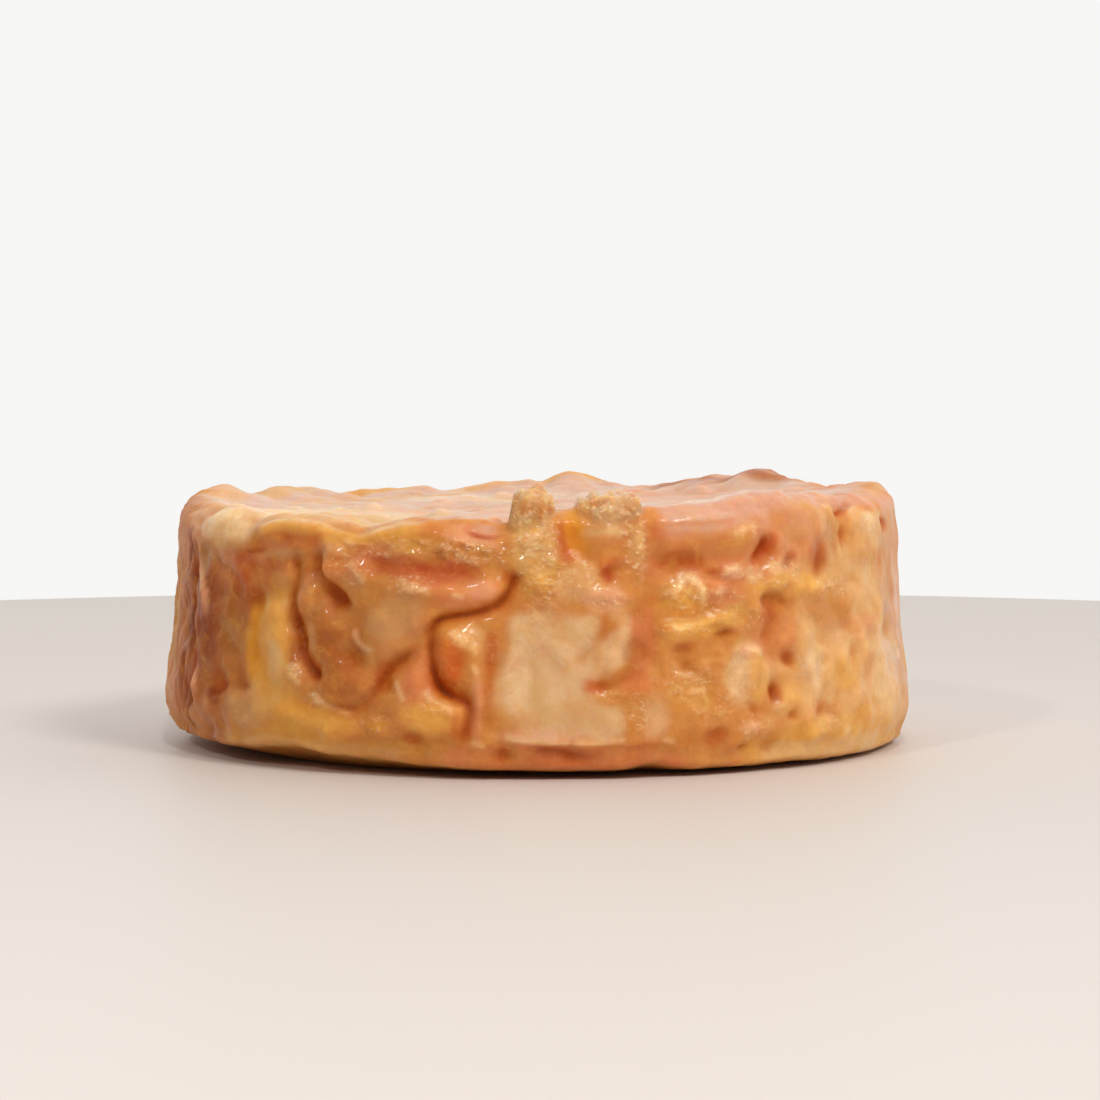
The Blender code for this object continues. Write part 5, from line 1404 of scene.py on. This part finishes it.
def shaped_rind():
    """The rind's points in millimetres, its number of rings, and what the material reads."""
    rows = profile()
    rings = ring_places(rows)
    points, normals = turned_grid(rings)
    grain = grain_cover(points, rows)
    coarse = relief(points, normals, rows)
    free = smooth_step(points[:, 2] / INSTEP_HEIGHT)
    pushed = (coarse + fine_relief(points, normals, rows, grain)) * free
    moved = points + normals * pushed[:, None]
    moved[:, 2] += rim_rise(points) + edge_rise(points)
    knobs = knob_rise(points)
    moved[:, 2] += knobs
    add_crust(moved, knobs)
    moved[:, 2] = np.maximum(moved[:, 2], 0.0)
    poles = np.array([(0.0, 0.0, 0.0), moved[-COLUMNS:].mean(0)])
    # The hollow: relief against its local average, for painted shade in the valleys and painted light on
    # the ridges.
    hollow = coarse - softened(coarse, len(rings), HOLLOW_CELLS)
    dry = DRY_GAIN * softened(np.abs(pleats(points)), len(rings), DRY_CELLS)
    reads = {
        "paint": painted(points, normals, rows, moved, grain),
        "hollow": hollow * (1.0 - TOP_HOLLOW_LOSS * top_share(points)),
        "grain": grain,
        "dry": np.clip(dry, 0.0, 1.0),
    }
    return np.vstack([moved, poles]), len(rings), reads


def add_attribute(mesh, name, values):
    """Stores one value, or one colour, for each point; the two poles take their neighbours' mean."""
    poles = [values[:COLUMNS].mean(0), values[-COLUMNS:].mean(0)]
    values = np.concatenate([values, np.array(poles)])
    if values.ndim == 1:
        made = mesh.attributes.new(name, "FLOAT", "POINT")
        made.data.foreach_set("value", values.astype(np.float32))
    else:
        made = mesh.attributes.new(name, "FLOAT_COLOR", "POINT")
        values = np.hstack([values, np.ones((len(values), 1))])
        made.data.foreach_set("color", values.astype(np.float32).ravel())


class Nodes:
    """Adds nodes to a material and links them in few words."""

    def __init__(self, material):
        material.use_nodes = True
        self.tree = material.node_tree
        self.shader = self.tree.nodes["Principled BSDF"]

    def add(self, kind, **settings):
        node = self.tree.nodes.new(kind)
        for name, value in settings.items():
            setattr(node, name, value)
        return node

    def link(self, source, target):
        self.tree.links.new(source, target)

    def read(self, name, output="Fac"):
        return self.add("ShaderNodeAttribute", attribute_name=name).outputs[output]

    def noise(self, size, detail=2.0, distortion=0.0, squash=1.0):
        """Noise of about this size in metres, from 0 to 1, pressed flat by the squash."""
        place_of = self.add("ShaderNodeTexCoord")
        pressed = self.add("ShaderNodeVectorMath", operation="MULTIPLY")
        pressed.inputs[1].default_value = (1.0, 1.0, squash)
        made = self.add("ShaderNodeTexNoise")
        for name, number in (("Scale", 1.0 / size), ("Detail", detail), ("Distortion", distortion)):
            made.inputs[name].default_value = number
        self.link(place_of.outputs["Object"], pressed.inputs[0])
        self.link(pressed.outputs["Vector"], made.inputs["Vector"])
        return made.outputs["Fac"]

    def spread(self, value, low, high, to_low=0.0, to_high=1.0):
        """The value moved from one range to another, and held inside it."""
        made = self.add("ShaderNodeMapRange", clamp=True)
        self.link(value, made.inputs["Value"])
        names = ("From Min", "From Max", "To Min", "To Max")
        for name, number in zip(names, (low, high, to_low, to_high)):
            made.inputs[name].default_value = number
        return made.outputs["Result"]

    def ranged(self, value, name):
        return self.spread(value, *RANGES[name])

    def joined(self, operation, first, *others):
        for other in others:
            made = self.add("ShaderNodeMath", operation=operation)
            self.link(first, made.inputs[0])
            self.link(other, made.inputs[1])
            first = made.outputs[0]
        return first

    def times(self, *values):
        return self.joined("MULTIPLY", *values)

    def plus(self, *values):
        return self.joined("ADD", *values)

    def tinted(self, colour, share, tint):
        """The colour mixed by a share with one of the palette, or multiplied by three numbers."""
        named = isinstance(tint, str)
        blend = "MIX" if named else "MULTIPLY"
        made = self.add("ShaderNodeMix", data_type="RGBA", blend_type=blend, clamp_result=True)
        self.link(share, made.inputs["Factor"])
        self.link(colour, made.inputs["A"])
        made.inputs["B"].default_value = (*(linear(PALETTE[tint]) if named else tint), 1.0)
        return made.outputs["Result"]


def rind_colour(nodes, noises, hollow, lively, crumb, sparkle):
    """Painted colour: stains, freckles, crumbs, and painted sparkles, valley shade and ridge light."""
    colour = nodes.read("paint", "Color")
    for name, start, full, strength, tint in STAINS:
        colour = nodes.tinted(colour, nodes.spread(noises[name], start, full, 0.0, strength), tint)
    for name, start, full, strength, tint in FRECKLES:
        share = nodes.times(lively, nodes.spread(noises[name], start, full, 0.0, strength))
        colour = nodes.tinted(colour, share, tint)
    # Crumbs go pale, partly as painted highlight, and sparkles are painted highlights.
    for source, name, tint in (
        (crumb, "crumb_tint", "shell"),
        (sparkle, "sparkle_tint", "pearl"),
        # Painted shade in the valleys and painted light on the ridges.
        (hollow, "valley_tint", PAINTED_VALLEY_SHADE),
        (hollow, "ridge_tint", PALER),
    ):
        colour = nodes.tinted(colour, nodes.ranged(source, name), tint)
    return colour


def rind_material():
    material = bpy.data.materials.new("wet_rind")
    nodes = Nodes(material)
    noises = {name: nodes.noise(*settings) for name, settings in NOISES.items()}
    hollow, grain = nodes.read("hollow"), nodes.read("grain")
    moist = nodes.ranged(nodes.read("dry"), "moist")
    lively = nodes.ranged(grain, "lively")
    # Small wet crumbs and finer sparkles, where the rind is pebbly, with pale painted highlights.
    crumb, sparkle = (
        nodes.times(nodes.ranged(noises[name], f"{name}_noise"), nodes.ranged(grain, f"{name}_grain"))
        for name in ("crumb", "sparkle")
    )
    colour = rind_colour(nodes, noises, hollow, lively, crumb, sparkle)

    wet = noises["wet"]
    rough = nodes.plus(nodes.ranged(wet, "wet_roughness"), nodes.ranged(moist, "dry_roughness"))
    shine = nodes.plus(nodes.ranged(wet, "wet_shine"), nodes.ranged(grain, "grain_shine"))
    shine = nodes.times(shine, nodes.ranged(hollow, "valley_shine"), moist)

    grainy = nodes.times(noises["grainy"], nodes.ranged(grain, "grain_bump"))
    height = nodes.plus(nodes.ranged(noises["fine"], "fine_bump"), noises["medium"], grainy)
    height = nodes.times(height, nodes.ranged(lively, "lively_bump"))
    height = nodes.plus(height, crumb, nodes.ranged(sparkle, "sparkle_bump"))
    bump = nodes.add("ShaderNodeBump")
    bump.inputs["Strength"].default_value = BUMP_STRENGTH
    bump.inputs["Distance"].default_value = BUMP_DISTANCE
    nodes.link(height, bump.inputs["Height"])

    for name, source in (
        ("Base Color", colour),
        ("Roughness", rough),
        ("Coat Weight", shine),
        ("Normal", bump.outputs["Normal"]),
    ):
        nodes.link(source, nodes.shader.inputs[name])
    for name, value in RIND_SETTINGS.items():
        nodes.shader.inputs[name].default_value = value
    return material


def placed(name, data):
    """A new object in the scene."""
    thing = bpy.data.objects.new(name, data)
    bpy.context.scene.collection.objects.link(thing)
    return thing


def build_rind():
    points, ring_count, reads = shaped_rind()
    mesh = bpy.data.meshes.new("rind")
    mesh.from_pydata((points * MM).tolist(), [], grid_faces(ring_count))
    for name, values in reads.items():
        add_attribute(mesh, name, values)
    mesh.shade_smooth()
    mesh.materials.append(rind_material())
    rind = placed("rind", mesh)
    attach(rind, "root")
    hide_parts("cheese")


def floor_material():
    material = bpy.data.materials.new("pale_floor")
    shader = Nodes(material).shader
    shader.inputs["Base Color"].default_value = (*linear(PALETTE["floor"]), 1.0)
    shader.inputs["Roughness"].default_value = FLOOR_ROUGHNESS
    return material


def build_floor():
    mesh = bpy.data.meshes.new("floor")
    turns = [2 * math.pi * step / FLOOR_SIDES for step in range(FLOOR_SIDES)]
    corners = [(FLOOR_RADIUS * math.cos(turn), FLOOR_RADIUS * math.sin(turn), 0.0) for turn in turns]
    mesh.from_pydata(corners, [], [tuple(range(FLOOR_SIDES))])
    mesh.materials.append(floor_material())
    floor = placed("floor", mesh)


def aim(thing, spot, target):
    thing.location = spot
    thing.rotation_euler = (Vector(target) - Vector(spot)).to_track_quat("-Z", "Y").to_euler()


def build_lamps():
    for name, (spot, size, power, colour) in LAMPS.items():
        light = bpy.data.lights.new(name, "AREA")
        light.shape = "DISK"
        light.size = size
        light.energy = power
        light.color = colour
        aim(placed(name, light), spot, LAMP_TARGET)


def build_world():
    """A pale studio: bright behind and to the right, dim in front."""
    world = bpy.data.worlds.new("studio")
    world.use_nodes = True
    nodes = world.node_tree.nodes
    background = nodes["Background"]
    background.inputs["Color"].default_value = WORLD_COLOUR
    direction = nodes.new("ShaderNodeTexCoord")
    along = nodes.new("ShaderNodeVectorMath")
    along.operation = "DOT_PRODUCT"
    along.inputs[1].default_value = BRIGHT_SIDE
    strength = nodes.new("ShaderNodeMapRange")
    strength.inputs["From Min"].default_value = DIM_SIDE_AT
    strength.inputs["From Max"].default_value = BRIGHT_SIDE_AT
    strength.inputs["To Min"].default_value = DIM_LIGHT
    strength.inputs["To Max"].default_value = BRIGHT_LIGHT
    link = world.node_tree.links.new
    link(direction.outputs["Generated"], along.inputs[0])
    link(along.outputs["Value"], strength.inputs["Value"])
    link(strength.outputs["Result"], background.inputs["Strength"])
    bpy.context.scene.world = world


def build_camera():
    lens = bpy.data.cameras.new("camera")
    lens.lens = CAMERA_LENS
    lens.sensor_width = CAMERA_SENSOR
    camera = placed("camera", lens)
    aim(camera, CAMERA_PLACE, CAMERA_TARGET)
    bpy.context.scene.camera = camera


build_rind()
build_floor()
build_world()
build_lamps()
build_camera()
bpy.context.scene.view_settings.view_transform = "Standard"
